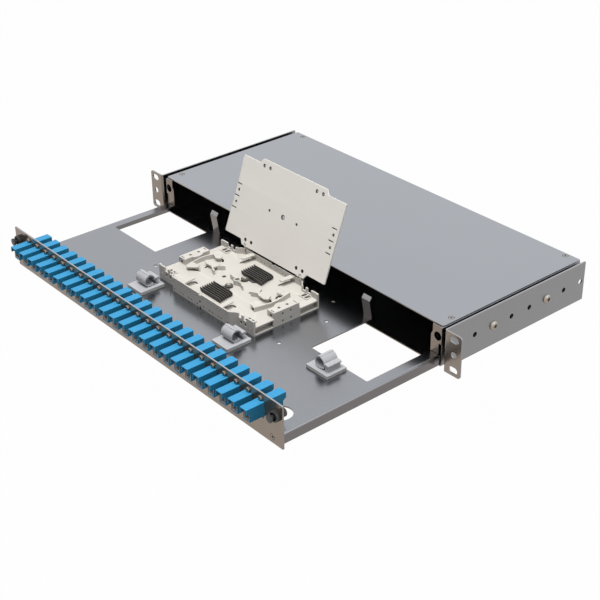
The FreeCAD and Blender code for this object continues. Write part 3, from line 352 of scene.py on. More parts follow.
def piece(name, shape, finish, body, nodes):
    """Makes the object, in metres, smooths its soft edges and ties it to its CAD body."""
    points, faces = shape
    mesh = clean_mesh(name, [p * MM for p in points], faces, 0.000002)
    mesh.polygons.foreach_set("use_smooth", [True] * len(mesh.polygons))
    mesh.set_sharp_from_angle(angle=math.radians(38.0))
    made = bpy.data.objects.new(name, mesh)
    bpy.context.collection.objects.link(made)
    weight = made.modifiers.new("even_faces", "WEIGHTED_NORMAL")
    weight.keep_sharp = True
    mesh.materials.append(finish)
    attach(made, body)
    if nodes:
        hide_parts(*nodes)


def effect(name, sockets):
    """Empty node group with the named (kind, name, type, default) sockets."""
    group = bpy.data.node_groups.new(name, "ShaderNodeTree")
    for in_out, label, kind, value in sockets:
        socket = group.interface.new_socket(name=label, in_out=in_out, socket_type=kind)
        if value is not None:
            socket.default_value = value
    start = group.nodes.new("NodeGroupInput")
    end = group.nodes.new("NodeGroupOutput")
    return group, start, end


# Tone drift: slow changes of shade that any large painted, plated or moulded face has.
tone_drift, drift_in, drift_out = effect("tone_drift", [
    ("INPUT", "Colour", "NodeSocketColor", None),
    ("INPUT", "Scale", "NodeSocketFloat", 8.0),
    ("INPUT", "Depth", "NodeSocketFloat", 0.1),
    ("OUTPUT", "Colour", "NodeSocketColor", None),
    ("OUTPUT", "Mask", "NodeSocketFloat", None),
])
drift_at = node(tone_drift, "TexCoord")
drift_noise = node(tone_drift, "TexNoise", [("Detail", 4)])
drift_centre = node(tone_drift, "Math", [(1, 0.5)], operation="SUBTRACT")
drift_depth = node(tone_drift, "Math", [(2, 1.0)], operation="MULTIPLY_ADD")
drift_tint = node(tone_drift, "Mix", [("Factor", 1.0)], data_type="RGBA", blend_type="MULTIPLY")
wire(tone_drift, (drift_at, "Object", drift_noise, "Vector"), (drift_in, "Scale", drift_noise, "Scale"),
     (drift_noise, "Fac", drift_centre, 0), (drift_centre, 0, drift_depth, 0),
     (drift_in, "Depth", drift_depth, 1), (drift_in, "Colour", drift_tint, "A"),
     (drift_depth, 0, drift_tint, "B"), (drift_tint, "Result", drift_out, "Colour"),
     (drift_noise, "Fac", drift_out, "Mask"))

# Fine grain: the small height of plating spangle, rolled sheet or moulded skin.
fine_grain, grain_in, grain_out = effect("fine_grain", [
    ("INPUT", "Scale", "NodeSocketFloat", 900.0),
    ("OUTPUT", "Height", "NodeSocketFloat", None),
])
grain_at = node(fine_grain, "TexCoord")
grain_noise = node(fine_grain, "TexNoise", [("Detail", 3)])
wire(fine_grain, (grain_at, "Object", grain_noise, "Vector"), (grain_in, "Scale", grain_noise, "Scale"),
     (grain_noise, "Fac", grain_out, "Height"))

# Edge wear and highlight: rounded edges brightened, partly by handling wear and partly as a
# painted highlight. It reads the mesh's pointiness.
edge_wear_and_highlight, rub_in, rub_out = effect("edge_wear_and_highlight", [
    ("INPUT", "Start", "NodeSocketFloat", 0.53),
    ("INPUT", "Full", "NodeSocketFloat", 0.62),
    ("OUTPUT", "Mask", "NodeSocketFloat", None),
])
rub_at = node(edge_wear_and_highlight, "NewGeometry")
rub_range = node(edge_wear_and_highlight, "MapRange")
wire(edge_wear_and_highlight, (rub_at, "Pointiness", rub_range, "Value"), (rub_in, "Start", rub_range, "From Min"),
     (rub_in, "Full", rub_range, "From Max"), (rub_range, "Result", rub_out, "Mask"))

# Facing shade: painted shade and painted reflection, a face's tone by where it looks, full
# above and by the given tints in front and at the sides. The tints paint the shade on side
# faces and, on metal, a warm reflection on front faces. It reads the world normal only.
painted_facing_shade, facing_in, facing_out = effect("painted_facing_shade", [
    ("INPUT", "Colour", "NodeSocketColor", None),
    ("INPUT", "Side", "NodeSocketColor", (0.55, 0.54, 0.52, 1.0)),
    ("INPUT", "Front", "NodeSocketColor", (0.69, 0.53, 0.40, 1.0)),
    ("OUTPUT", "Colour", "NodeSocketColor", None),
])
facing_at = node(painted_facing_shade, "NewGeometry")
facing_split = node(painted_facing_shade, "SeparateXYZ")
facing_front = node(painted_facing_shade, "MapRange", [("From Min", 0.15), ("From Max", -0.85)])
facing_up = node(painted_facing_shade, "MapRange", [("From Min", 0.05), ("From Max", 0.95)])
facing_level = node(painted_facing_shade, "Mix", data_type="RGBA")
facing_above = node(painted_facing_shade, "Mix", [("B", (1.0, 1.0, 1.0, 1.0))], data_type="RGBA")
facing_tint = node(painted_facing_shade, "Mix", [("Factor", 1.0)], data_type="RGBA", blend_type="MULTIPLY")
wire(painted_facing_shade, (facing_at, "Normal", facing_split, 0), (facing_split, "Y", facing_front, "Value"),
     (facing_split, "Z", facing_up, "Value"), (facing_front, "Result", facing_level, "Factor"),
     (facing_in, "Side", facing_level, "A"), (facing_in, "Front", facing_level, "B"),
     (facing_up, "Result", facing_above, "Factor"), (facing_level, "Result", facing_above, "A"),
     (facing_in, "Colour", facing_tint, "A"), (facing_above, "Result", facing_tint, "B"),
     (facing_tint, "Result", facing_out, "Colour"))


def finish(name, colour, rough, metallic=0.0, *, drift, grain, spread=0.06, rub=(0.0, (1, 1, 1)),
           specular=0.5, facing=None):
    """Material with the shared effects: drift is (scale, depth), grain (scale, strength) and
    rub (strength, colour), edge wear with a painted highlight on rounded edges; facing is the
    (side, front) tints of painted shade and painted reflection, where the finish has them."""
    made = bpy.data.materials.new(name)
    made.use_nodes = True
    tree = made.node_tree
    shade = tree.nodes["Principled BSDF"]
    shade.inputs["Metallic"].default_value = metallic
    shade.inputs["Specular IOR Level"].default_value = specular
    tone = node(tree, "Group", [("Colour", (*colour, 1)), ("Scale", drift[0]), ("Depth", drift[1])],
                node_tree=tone_drift)
    # Rounded edges lightened: handling wear and a painted highlight.
    edge = node(tree, "Group", node_tree=edge_wear_and_highlight)
    strength = node(tree, "Math", [(1, rub[0])], operation="MULTIPLY")
    worn_and_highlit = node(tree, "Mix", [("B", (*rub[1], 1))], data_type="RGBA")
    gloss = node(tree, "MapRange", [("To Min", rough - spread), ("To Max", rough + spread)])
    skin = node(tree, "Group", [("Scale", grain[0])], node_tree=fine_grain)
    bump = node(tree, "Bump", [("Strength", grain[1]), ("Distance", 0.0004)])
    wire(tree, (edge, "Mask", strength, 0), (strength, 0, worn_and_highlit, "Factor"), (tone, "Colour", worn_and_highlit, "A"),
         (tone, "Mask", gloss, "Value"), (gloss, "Result", shade, "Roughness"),
         (skin, "Height", bump, "Height"), (bump, "Normal", shade, "Normal"))
    if facing:
        side, front = facing
        lit = node(tree, "Group", [("Side", (*side, 1)), ("Front", (*front, 1))], node_tree=painted_facing_shade)
        wire(tree, (worn_and_highlit, "Result", lit, "Colour"), (lit, "Colour", shade, "Base Color"))
    else:
        wire(tree, (worn_and_highlit, "Result", shade, "Base Color"))
    return made


# Steel's facing tints: painted shade on side faces and a painted warm reflection on front faces.
STEEL_PAINTED_FACING = ((0.55, 0.54, 0.52), (0.69, 0.53, 0.40))
SHEET_GRAIN = (700.0, 0.012)
plated_steel = finish("plated_steel", (0.34, 0.355, 0.395), 0.27, 1.0, drift=(5.0, 0.10), grain=SHEET_GRAIN,
                      spread=0.05, rub=(0.25, (0.55, 0.56, 0.58)), facing=STEEL_PAINTED_FACING)

SHEET = 1.2
SHELL_HALF = 215.0
SHELL_LOW, SHELL_TOP = -22.0, 20.4
SHELL_FRONT, SHELL_REAR = 3.2, 194.6
LIP = 12.0
BEND = 2.0
SIDE_SCREW_Y = (64.2, 139.2)
SIDE_HOLE_Z = 1.3
SIDE_BORE = 2.6
bend_inner = BEND - SHEET
bend_run = math.pi / 2 * (bend_inner + SHEET / 2)
side_straight = SHELL_TOP - SHELL_LOW - 2 * BEND
lip_start = SHELL_HALF - BEND + bend_run + side_straight
lip_end = lip_start + bend_run + LIP - BEND
screw_run = SHELL_HALF - BEND + bend_run + SIDE_HOLE_Z - SHELL_LOW - BEND
flat = plate(rectangle(-lip_end, lip_end, SHELL_FRONT, SHELL_REAR),
             [circle(s * screw_run, y, SIDE_BORE) for s in (-1, 1) for y in SIDE_SCREW_Y],
             -SHEET / 2, SHEET / 2)
with_lips = folded_twice(flat, lip_start, bend_inner, SHEET)
wrap = folded_twice(with_lips, SHELL_HALF - BEND, bend_inner, SHEET)

CABLE_X = (-165.0, -60.0, 60.0, 165.0)
CABLE_HOLE = 10.1
REAR_INSET, REAR_CORNER = 0.6, 1.4
wall_half, wall_low, wall_top = SHELL_HALF - REAR_INSET, SHELL_LOW + REAR_INSET, SHELL_TOP - REAR_INSET
rear_line = outline([(-wall_half, wall_low, REAR_CORNER), (wall_half, wall_low, REAR_CORNER),
                     (wall_half, wall_top, REAR_CORNER), (-wall_half, wall_top, REAR_CORNER)])
rear_wall = plate(rear_line, [circle(x, 0, CABLE_HOLE, 28) for x in CABLE_X],
                  SHELL_REAR - SHEET, SHELL_REAR, "y")
rear_lip = block(-203, 203, SHELL_REAR - LIP, SHELL_REAR, SHELL_TOP - SHEET, SHELL_TOP)

LATCH_X, LATCH_Z = 210.0, 9.4
latch_line = outline([
    (SHELL_HALF, SHELL_TOP, 2.0), (SHELL_HALF, 2.0), (211.5, 2.0, 1.0), (211.5, -9.2), (201.5, -9.2),
    (201.5, 8.8, 0.9), (203.5, 12.4, 0.9), (203.5, SHELL_TOP),
])
latch_plate = plate(latch_line, [circle(LATCH_X, LATCH_Z, 4.5, 24)], SHELL_FRONT - SHEET, SHELL_FRONT, "y")

cover_points = [(-209, 20), (209, 20), (-200, 189.8), (200, 189.8)]
bosses = [lathe([(1.6, 16.8), (2.7, 16.8), (3.0, 17.1), (3.0, 19.2), (1.6, 19.2)], (x, y, 0), "z", 16)
          for x, y in cover_points]
side_bosses = [lathe([(SIDE_BORE, 211.0), (4.3, 211.0), (4.5, 211.2), (4.5, 213.8), (SIDE_BORE, 213.8)],
                     (0, y, SIDE_HOLE_Z), "x", 18) for y in SIDE_SCREW_Y]
shell = joined([placed(wrap, z=SHELL_LOW + SHEET / 2)] + bosses[:2] + [both(b) for b in side_bosses])
piece("housing_shell_sheet", shell, plated_steel, "housing", ["housing_shell"])
piece("rear_wall_sheet", joined([rear_wall, rear_lip] + bosses[2:]), plated_steel, "housing",
      ["rear_wall"])
piece("latch_plate_pair", both(latch_plate), plated_steel, "housing", ["latch_plates"])


# Top cover: a flat sheet let down over the lips, held by four small countersunk screws.
# The screws are zinc-plated, with a cross recess.

cover_steel = finish("cover_steel", (0.385, 0.402, 0.435), 0.30, 1.0, drift=(3.5, 0.10), grain=SHEET_GRAIN,
                     spread=0.05, rub=(0.2, (0.6, 0.61, 0.63)), facing=STEEL_PAINTED_FACING)
COVER_FRONT, COVER_TOP = 3.6, 21.5
cover_line = outline([(-SHELL_HALF, COVER_FRONT, 3), (SHELL_HALF, COVER_FRONT, 3),
                      (SHELL_HALF, SHELL_REAR, 1), (-SHELL_HALF, SHELL_REAR, 1)])
cover = plate(cover_line, [circle(x, y, 3.0, 24) for x, y in cover_points], SHELL_TOP, COVER_TOP, "z", 0.2)
piece("top_cover_sheet", cover, cover_steel, "housing", ["top_cover"])

SCREW_GRAIN = (2500.0, 0.05)
# Its facing tints paint shade on side faces and a warm reflection on front faces.
zinc = finish("zinc", (0.58, 0.56, 0.52), 0.30, 1.0, drift=(60.0, 0.15), grain=SCREW_GRAIN, spread=0.08,
              rub=(0.35, (0.8, 0.78, 0.74)), facing=((0.46, 0.43, 0.40), (0.62, 0.54, 0.46)))


def cross(size, width):
    """Loop of a cross recess."""
    loop = []
    for k in range(4):
        tilt = math.pi / 2 * k
        for a, b in ((width, width), (size, width), (size, -width)):
            loop.append(Vector((a * math.cos(tilt) + b * math.sin(tilt),
                                b * math.cos(tilt) - a * math.sin(tilt))))
    return loop


def flat_head(radius):
    """Countersunk head in its own frame, top face at z = 0, with a cross recess."""
    top = plate(circle(0, 0, radius * 0.86, 28), [cross(radius * 0.62, radius * 0.2)], -0.4, -0.06, "z", 0.1)
    wall = plate(circle(0, 0, radius * 0.8, 20), [cross(radius * 0.5, radius * 0.18)], -2.2, -0.35, "z", 0.02)
    under = lathe([(0.001, -2.0), (1.5, -2.0), (1.5, -5), (1.2, -5.6), (0.001, -5.6)], (0, 0, 0), "z", 20)
    return joined([top, wall, under])


cover_heads = joined([placed(flat_head(2.85), x, y, COVER_TOP, 20 * x) for x, y in cover_points])
piece("cover_screw_heads", cover_heads, zinc, "housing", ["cover_screws"])


# Rack brackets: an L of thicker steel at each side, the ear with two slots and a round
# hole to the front, the leg with seven holes along the housing.

# Its facing tints paint shade on side faces and a warm reflection on front faces.
bracket_steel = finish("bracket_steel", (0.42, 0.425, 0.44), 0.24, 1.0, drift=(9.0, 0.12), grain=SHEET_GRAIN,
                       spread=0.05, rub=(0.25, (0.7, 0.7, 0.71)),
                       facing=((0.60, 0.60, 0.60), (0.62, 0.51, 0.41)))
LEG, LEG_INNER, LEG_REAR = 1.5, 220.0, 195.0
EAR_END, EAR_HALF = 241.3, 22.0
RACK_HOLE_X, RACK_SLOT_Z = 232.55, 15.875
SIDE_HOLES, SIDE_HOLE_FIRST, SIDE_HOLE_PITCH = 7, 39.2, 25
leg_bend = 1.0
leg_run = math.pi / 2 * (leg_bend + LEG / 2)
leg_straight = LEG_REAR - LEG - leg_bend
# Flat pattern: x runs from the leg's rear end, at nought, past the bend to the ear's edge.
ear_start = leg_straight + leg_run - LEG_INNER - LEG - leg_bend
ear_hole = ear_start + RACK_HOLE_X
ear_edge = ear_start + EAR_END
pattern = outline([
    (0, -20.2, 1), (leg_straight - 1.5, -20.2, 1), (leg_straight, -EAR_HALF), (ear_edge, -EAR_HALF, 3),
    (ear_edge, EAR_HALF, 3), (0, EAR_HALF, 1),
])
leg_holes = [circle(LEG_REAR - (SIDE_HOLE_FIRST + SIDE_HOLE_PITCH * k), SIDE_HOLE_Z, SIDE_BORE)
             for k in range(SIDE_HOLES)]
rack_holes = [slotted(ear_hole, z, 10.5, 6.5) for z in (-RACK_SLOT_Z, RACK_SLOT_Z)]
rack_holes.append(circle(ear_hole, 0, 3.25, 24))
bracket_flat = plate(pattern, leg_holes + rack_holes, -LEG / 2, LEG / 2, "z", 0.18)
points, faces = fold(bracket_flat, leg_straight, leg_bend, LEG)
# The leg runs to the front, and the fold throws the ear outwards.
bracket = [Vector((LEG_INNER + LEG / 2 + p.z, LEG_REAR - p.x, p.y)) for p in points], faces
for side, shape in (("right", bracket), ("left", flipped(bracket))):
    piece("rack_bracket_%s_sheet" % side, shape, bracket_steel, "housing",
          ["rack_bracket_" + side])


# Bracket screws: button heads with a hexagon socket, two to a leg, each on a plain
# spacer tube that stands the leg off the housing.

def button_screw():
    """Along +X in its own frame, head seat at nought."""
    hexagon = circle(0, 0, 1.85, 6)
    dome = lathe([(4.75, 0), (4.75, 0.5), (4.6, 1.0), (4.1, 1.8), (3.3, 2.4), (2.6, 2.66)],
                 (0, 0, 0), "x", 32)
    open_dome = dome[0], dome[1][:-1]
    crown = plate(circle(0, 0, 2.75, 32), [hexagon], 0.6, 2.72, "x", 0.08)
    socket_floor = plate(circle(0, 0, 2.3, 16), [], 0.3, 0.65, "x", 0.05)
    shank = lathe([(0.001, -10.2), (2.2, -10.2), (2.5, -9.8), (2.5, 0.2), (0.001, 0.2)], (0, 0, 0), "x", 20)
    return joined([open_dome, crown, socket_floor, shank])


right_buttons = joined([placed(button_screw(), LEG_INNER + LEG, y, SIDE_HOLE_Z) for y in SIDE_SCREW_Y])
piece("bracket_button_screws", both(right_buttons), zinc, "housing", ["bracket_screws"])
spacer_profile = [(SIDE_BORE, SHELL_HALF), (4.4, SHELL_HALF), (4.6, SHELL_HALF + 0.2), (4.6, LEG_INNER - 0.2),
                  (4.4, LEG_INNER), (SIDE_BORE, LEG_INNER)]
spacers = joined([turned_ring(spacer_profile, (0, y, SIDE_HOLE_Z), "x", 24) for y in SIDE_SCREW_Y])
piece("bracket_spacer_tubes", both(spacers), zinc, "housing", ["bracket_spacers"])


# Cable grommets: soft black rings snapped into the rear wall, where the cables enter.
# They are moulded rubber, so they are rounded all over.

rubber = finish("rubber", (0.016, 0.016, 0.017), 0.62, drift=(40.0, 0.3), grain=(1600.0, 0.3))
grommet_profile = [
    (7.5, 191.9), (7.8, 191.4), (11.2, 191.4), (11.9, 191.9), (11.9, 193.0), (11.5, 193.4),
    (CABLE_HOLE, 193.4), (CABLE_HOLE, SHELL_REAR), (11.6, SHELL_REAR), (11.9, 195.0), (11.9, 196.0),
    (11.4, 196.6), (8.0, 196.6), (7.5, 196.1),
]
grommets = joined([turned_ring(grommet_profile, (x, 0, 0), "y", 36) for x in CABLE_X])
piece("cable_grommet_rings", grommets, rubber, "housing", ["cable_grommets"])


# Tray: a folded steel sheet that slides in the shell, with square cut-outs open to the
# rear, two round holes behind the panel and two stop lugs bent up at the rear edge.

# Its facing tints paint shade on side faces and a warm reflection on front faces.
tray_steel = finish("tray_steel", (0.325, 0.338, 0.365), 0.24, 1.0, drift=(4.0, 0.12), grain=SHEET_GRAIN,
                    spread=0.05, rub=(0.2, (0.6, 0.61, 0.63)),
                    facing=((0.50, 0.46, 0.42), (0.60, 0.50, 0.42)))
TRAY_HALF, TRAY_TOP, TRAY_SHEET = 213.3, -9.5, 1.5
TRAY_BACK, ARM_BACK, PANEL_BACK = 0.5, 4.5, -185.5
CUT_INNER, CUT_OUTER, CUT_FRONT = 125.5, 201.5, -77
SKIRT = 8.5
PANEL_SCREW_X, PANEL_SCREW_Z = (68.0, 204.2), -15.7
tray_bend = 1.0
fold_at = TRAY_HALF - TRAY_SHEET - tray_bend
skirt_end = fold_at + math.pi / 2 * (tray_bend + TRAY_SHEET / 2) + SKIRT
half_line = [(skirt_end, PANEL_BACK), (skirt_end, ARM_BACK), (CUT_OUTER, ARM_BACK), (CUT_OUTER, CUT_FRONT, 1),
             (CUT_INNER, CUT_FRONT, 1), (CUT_INNER, TRAY_BACK)]
tray_line = outline(half_line + [(-a[0], *a[1:]) for a in reversed(half_line)])
tray_holes = [circle(s * 188.6, -165.3, 11.0, 40) for s in (-1, 1)]
for x, y in ((76.5, -6.8), (100.0, -35.5), (100.0, -94.2)):
    tray_holes += [circle(s * x, y, 2.0, 16) for s in (-1, 1)]
tray_flat = plate(tray_line, tray_holes, -TRAY_SHEET / 2, TRAY_SHEET / 2, "z", 0.18)
tray_folded = placed(folded_twice(tray_flat, fold_at, tray_bend, TRAY_SHEET, False),
                     z=TRAY_TOP - TRAY_SHEET / 2)
front_flange = block(-211.3, 211.3, PANEL_BACK, PANEL_BACK + TRAY_SHEET, -20.5, TRAY_TOP - 0.4)
lug = plate(outline([
    (0.5, -11), (0.5, -7.5, 2), (-2.5, 9.9, 2), (0.1, 13.9), (-1.1, 14.7), (-4.0, 10.3, 2), (-1.0, -7.5, 2),
    (-1.0, -11),
]), [], 114.3, CUT_INNER, "x", 0.18)
tray_nuts = [lathe([(1.6, 0), (2.8, 0), (3.0, 0.2), (3.0, 2.2), (2.8, 2.4), (1.6, 2.4)],
                   (x, PANEL_BACK + TRAY_SHEET, PANEL_SCREW_Z), "y", 18) for x in PANEL_SCREW_X]
tray_shape = joined([tray_folded, front_flange, both(lug)] + [both(n) for n in tray_nuts])
piece("tray_sheet", tray_shape, tray_steel, "tray", ["tray"])


# Front panel: a flat steel sheet the full height of the unit, with a row of ports, a
# hole at each end for the latch, and four countersunk screws into the tray's flange.

# Its facing tints paint shade on side faces and a warm reflection on front faces.
panel_steel = finish("panel_steel", (0.40, 0.405, 0.42), 0.19, 0.8, drift=(6.0, 0.10), grain=(700.0, 0.015),
                     spread=0.03, rub=(0.25, (0.75, 0.74, 0.72)),
                     facing=((0.55, 0.53, 0.50), (0.66, 0.52, 0.40)))
PORTS, PORT_PITCH = 24, 16.5
PORT_Z, PORT_HALF, PORT_RISE = 7.4, 4.5, 6.9
PANEL_HALF, PANEL_FRONT = 218, -187.0
port_places = [(k - (PORTS - 1) / 2) * PORT_PITCH for k in range(PORTS)]
panel_holes = [rectangle(x - PORT_HALF, x + PORT_HALF, PORT_Z - PORT_RISE, PORT_Z + PORT_RISE)
               for x in port_places]
panel_holes += [circle(s * LATCH_X, LATCH_Z, 4.2, 24) for s in (-1, 1)]
panel_holes += [circle(s * x, PANEL_SCREW_Z, 3.0, 24) for s in (-1, 1) for x in PANEL_SCREW_X]
panel = plate(rectangle(-PANEL_HALF, PANEL_HALF, -EAR_HALF, EAR_HALF, 1.0), panel_holes,
              PANEL_FRONT, PANEL_BACK, "y", 0.2)
piece("front_panel_sheet", panel, panel_steel, "tray", ["front_panel"])


def upright(shape, x, y, z):
    """A piece drawn along Z, laid so that its top faces the front."""
    points, faces = shape
    return [Vector((p.x + x, y - p.z, p.y + z)) for p in points], faces


panel_heads = joined([upright(flat_head(2.9), s * x, PANEL_FRONT, PANEL_SCREW_Z)
                      for s in (-1, 1) for x in PANEL_SCREW_X])
piece("panel_screw_heads", panel_heads, zinc, "tray", ["panel_screws"])


# Adapters: blue moulded couplers, one to a port. Each is a square tube with a wall across
# its middle, a longer roof at each mouth, and a flange behind the panel.

# Its facing tints paint shade on side and front faces, darkest at the sides.
adapter_blue = finish("adapter_blue", (0.045, 0.285, 0.52), 0.45, drift=(50.0, 0.08), grain=(2200.0, 0.05),
                      spread=0.05, rub=(0.15, (0.06, 0.42, 0.78)), specular=0.22,
                      facing=((0.36, 0.62, 0.62), (0.6, 0.85, 0.85)))
FRONT_MOUTH, REAR_MOUTH, MOUTH_STEP = -206.2, -163.3, 3.4
WALL_FRONT, WALL_REAR = -185.9, -183.8
HAIR_LINE = 0.06


def carved(shape, cutters):
    """The shape with each cutter taken out of it."""
    solids = []
    for points, faces in [shape] + cutters:
        blank = bpy.data.objects.new("blank", clean_mesh("blank", points, faces, 0.002))
        bpy.context.collection.objects.link(blank)
        solids.append(blank)
    for cutter in solids[1:]:
        take = solids[0].modifiers.new("take", "BOOLEAN")
        take.operation = "DIFFERENCE"
        take.solver = "EXACT"
        take.object = cutter
    bpy.context.view_layer.update()
    ready = solids[0].evaluated_get(bpy.context.evaluated_depsgraph_get())
    mesh = bpy.data.meshes.new_from_object(ready)
    result = [v.co.copy() for v in mesh.vertices], [tuple(f.vertices) for f in mesh.polygons]
    for blank in solids:
        used = blank.data
        bpy.data.objects.remove(blank)
        bpy.data.meshes.remove(used)
    bpy.data.meshes.remove(mesh)
    return result


def adapter_shell():
    """One adapter about x = 0: the bored tube, its flange, and a ledge before the panel."""
    low, high = PORT_Z - PORT_RISE, PORT_Z + PORT_RISE
    step = high - 5.4
    side_line = outline([
        (FRONT_MOUTH, high), (FRONT_MOUTH, step, 0.3), (FRONT_MOUTH + MOUTH_STEP, step, 0.3),
        (FRONT_MOUTH + MOUTH_STEP, low), (REAR_MOUTH - MOUTH_STEP, low),
        (REAR_MOUTH - MOUTH_STEP, step - 2.4, 0.3), (REAR_MOUTH, step, 0.3), (REAR_MOUTH, high),
    ], 2)
    body = plate(side_line, [], -PORT_HALF, PORT_HALF, "x", 0.22)
    bores = [block(-3.62, 3.62, y0, y1, low + 0.88, high - 0.88, 0.05)
             for y0, y1 in ((FRONT_MOUTH - 1, WALL_FRONT), (WALL_REAR, REAR_MOUTH + 1))]
    flange = block(-4.6, 4.6, PANEL_BACK, PANEL_BACK + 2.0, PORT_Z - 11.8, PORT_Z + 11.8, 0.3)
    ledge = block(-4.56, 4.56, PANEL_FRONT - 4.6, PANEL_FRONT, low - HAIR_LINE, high + HAIR_LINE, 0.1)
    collars = [carved(collar, [block(-4.4, 4.4, y0, y1, low + 0.1, high - 0.1, 0.05)])
               for collar, y0, y1 in ((flange, PANEL_BACK - 1, PANEL_BACK + 3),
                                      (ledge, PANEL_FRONT - 6, PANEL_FRONT + 1))]
    return joined([carved(body, bores)] + collars)


adapter = adapter_shell()
for number, x in enumerate(port_places, 1):
    piece("adapter_%02d_shell" % number, placed(adapter, x), adapter_blue, "tray",
          ["adapter_%02d" % number])


# Adapter liners: off-white inner frames in both mouths of every adapter, with the
# ceramic sleeve that lines up the two fibre ends.

# The liners' off-white is darkened to about half: painted shade, for the shade inside the adapter mouths.
liner_white = finish("liner_white", (0.46, 0.43, 0.38), 0.5, drift=(60.0, 0.08), grain=(2200.0, 0.05),
                     rub=(0.3, (0.95, 0.93, 0.9)))


def liner():
    """Both frames and the sleeve of one adapter, about x = 0."""
    low, high = PORT_Z - 6.0, PORT_Z + 6.0
    frames = [plate(rectangle(-3.6, 3.6, low, high), [rectangle(-3.0, 3.0, low + 0.6, high - 0.6, 0.3)],
                    y0, y1, "y", 0.12) for y0, y1 in ((-202.6, -185.85), (-183.85, -167.1))]
    sleeve = turned_ring([(1.25, -190.85), (2.0, -190.85), (2.15, -190.7), (2.15, -179.0), (2.0, -178.85),
                          (1.25, -178.85)], (0, 0, PORT_Z), "y", 20)
    return joined(frames + [sleeve])


one_liner = liner()
piece("adapter_liners", joined([placed(one_liner, x) for x in port_places]), liner_white, "tray",
      ["adapter_inserts"])


# Adapter screws: small bronze-brown pan heads above and below every adapter, through
# the panel and the adapter's flange.

bronze = finish("bronze", (0.30, 0.255, 0.22), 0.33, 1.0, drift=(80.0, 0.2), grain=SCREW_GRAIN,
                rub=(0.5, (0.6, 0.55, 0.5)))
PORT_SCREW_RISE = 9.4


def pan_screw():
    """Head to -Y from the panel's front face, in its own frame."""
    head = lathe([(2.4, 0), (2.4, -0.9), (2.2, -1.4), (1.75, -1.72)], (0, 0, 0), "y", 24)
    open_head = head[0], head[1][:-1]
    crown = plate(circle(0, 0, 1.8, 24), [cross(1.25, 0.3)], -1.78, -1.0, "y", 0.06)
    recess_floor = plate(circle(0, 0, 1.6, 12), [], -1.1, -0.8, "y", 0.05)
    shank = lathe([(1.25, 0), (1.25, 4.3), (1.0, 4.5), (0.001, 4.5)], (0, 0, 0), "y", 14)
    return joined([open_head, crown, recess_floor, shank])


pan = pan_screw()
heads = [placed(pan, x, PANEL_FRONT, PORT_Z + s * PORT_SCREW_RISE) for x in port_places for s in (-1, 1)]
piece("adapter_pan_screws", joined(heads), bronze, "tray", ["adapter_screws"])


# Push latches: a black moulded sleeve with a dished flange in each end of the panel,
# and a plunger whose round knob is pressed to lock the tray.

latch_black = finish("latch_black", (0.022, 0.022, 0.022), 0.36, drift=(40.0, 0.3), grain=(2000.0, 0.12),
                     rub=(0.2, (0.1, 0.1, 0.1)))
sleeve_profile = [(2.25, -188.4), (3.7, -188.4), (3.9, -190.4), (4.1, -190.8), (5.2, -190.8), (5.5, -190.4),
                  (5.5, -187.3), (5.3, -187.0), (4.2, -187.0), (4.2, -178.9), (3.8, -178.5), (2.25, -178.5)]
sleeves = [turned_ring(sleeve_profile, (s * LATCH_X, 0, LATCH_Z), "y", 40) for s in (-1, 1)]
piece("latch_sleeve_pair", joined(sleeves), latch_black, "tray", ["latch_sleeves"])
plunger_profile = [(0.001, -195.5), (3.4, -195.5), (3.8, -195.3), (3.9, -195.0), (3.9, -194.0), (3.7, -193.7),
                   (2.1, -193.7), (2.0, -193.4), (2.0, -181.9), (1.8, -181.7), (0.001, -181.7)]
for s, side in ((-1, "left"), (1, "right")):
    knob = lathe(plunger_profile, (s * LATCH_X, 0, LATCH_Z), "y", 40)
    piece("plunger_%s_knob" % side, knob, latch_black, "plunger_" + side, ["plunger_" + side])


# Splice cassette: one beige moulding. Thin outer walls stand on the tray, a raised floor
# carries the fibre guides, and blocks at both ends grip the incoming tubes.

# Its facing tints paint shade on the walls' side and front faces.
cassette_beige = finish("cassette_beige", (0.62, 0.585, 0.53), 0.46, drift=(14.0, 0.06), grain=(2400.0, 0.05),
                        rub=(0.3, (0.80, 0.77, 0.71)), facing=((0.82, 0.82, 0.83), (0.70, 0.70, 0.71)))
# Painted shade: a near-black finish for thin plates set where only shade falls inside bores and slots.
painted_bore_shade = finish("painted_bore_shade", (0.080, 0.074, 0.066), 0.8, drift=(60.0, 0.2), grain=(2000.0, 0.05))
CASSETTE_Y = -65.0
LONG, DEEP, BULGE = 76.5, 40.4, 46.1
BULGE_HALF, SHOULDER = 46.0, 52.1
RIM, FLOOR_TOP, GUIDE_TOP = 6.2, -0.4, 4.6
WALL = 1.5
WALL_BORES = (4.9, 14.4, 19.3, 28.6, 33.2, 43.0)
WALL_WINDOWS = (57.8, 64.0)
TIE_SLOTS = (60.8, 65.8)
TUBE_V, TUBE_Z = (-5.0, 5.0), (-5.7, 2.2)
TAB_U = (-30.2, 31.6)
POST_U = (-30.6, 30.6)
RING_U, RING_V = -0.6, 0.4
# Shapes of the one moulding run into each other, and this keeps their faces out of one plane.
HAIR = 0.03


def cassette_line(inset):
    """The outer line taken in by inset: a long box whose middle bulges to front and rear."""
    long, deep, bulge = LONG - inset, DEEP - inset, BULGE - inset
    half = [(-long, -deep), (-SHOULDER, -deep, 4), (-BULGE_HALF, -bulge, 4), (BULGE_HALF, -bulge, 4),
            (SHOULDER, -deep, 4), (long, -deep)]
    return outline(half + [(-a[0], -a[1], *a[2:]) for a in half])


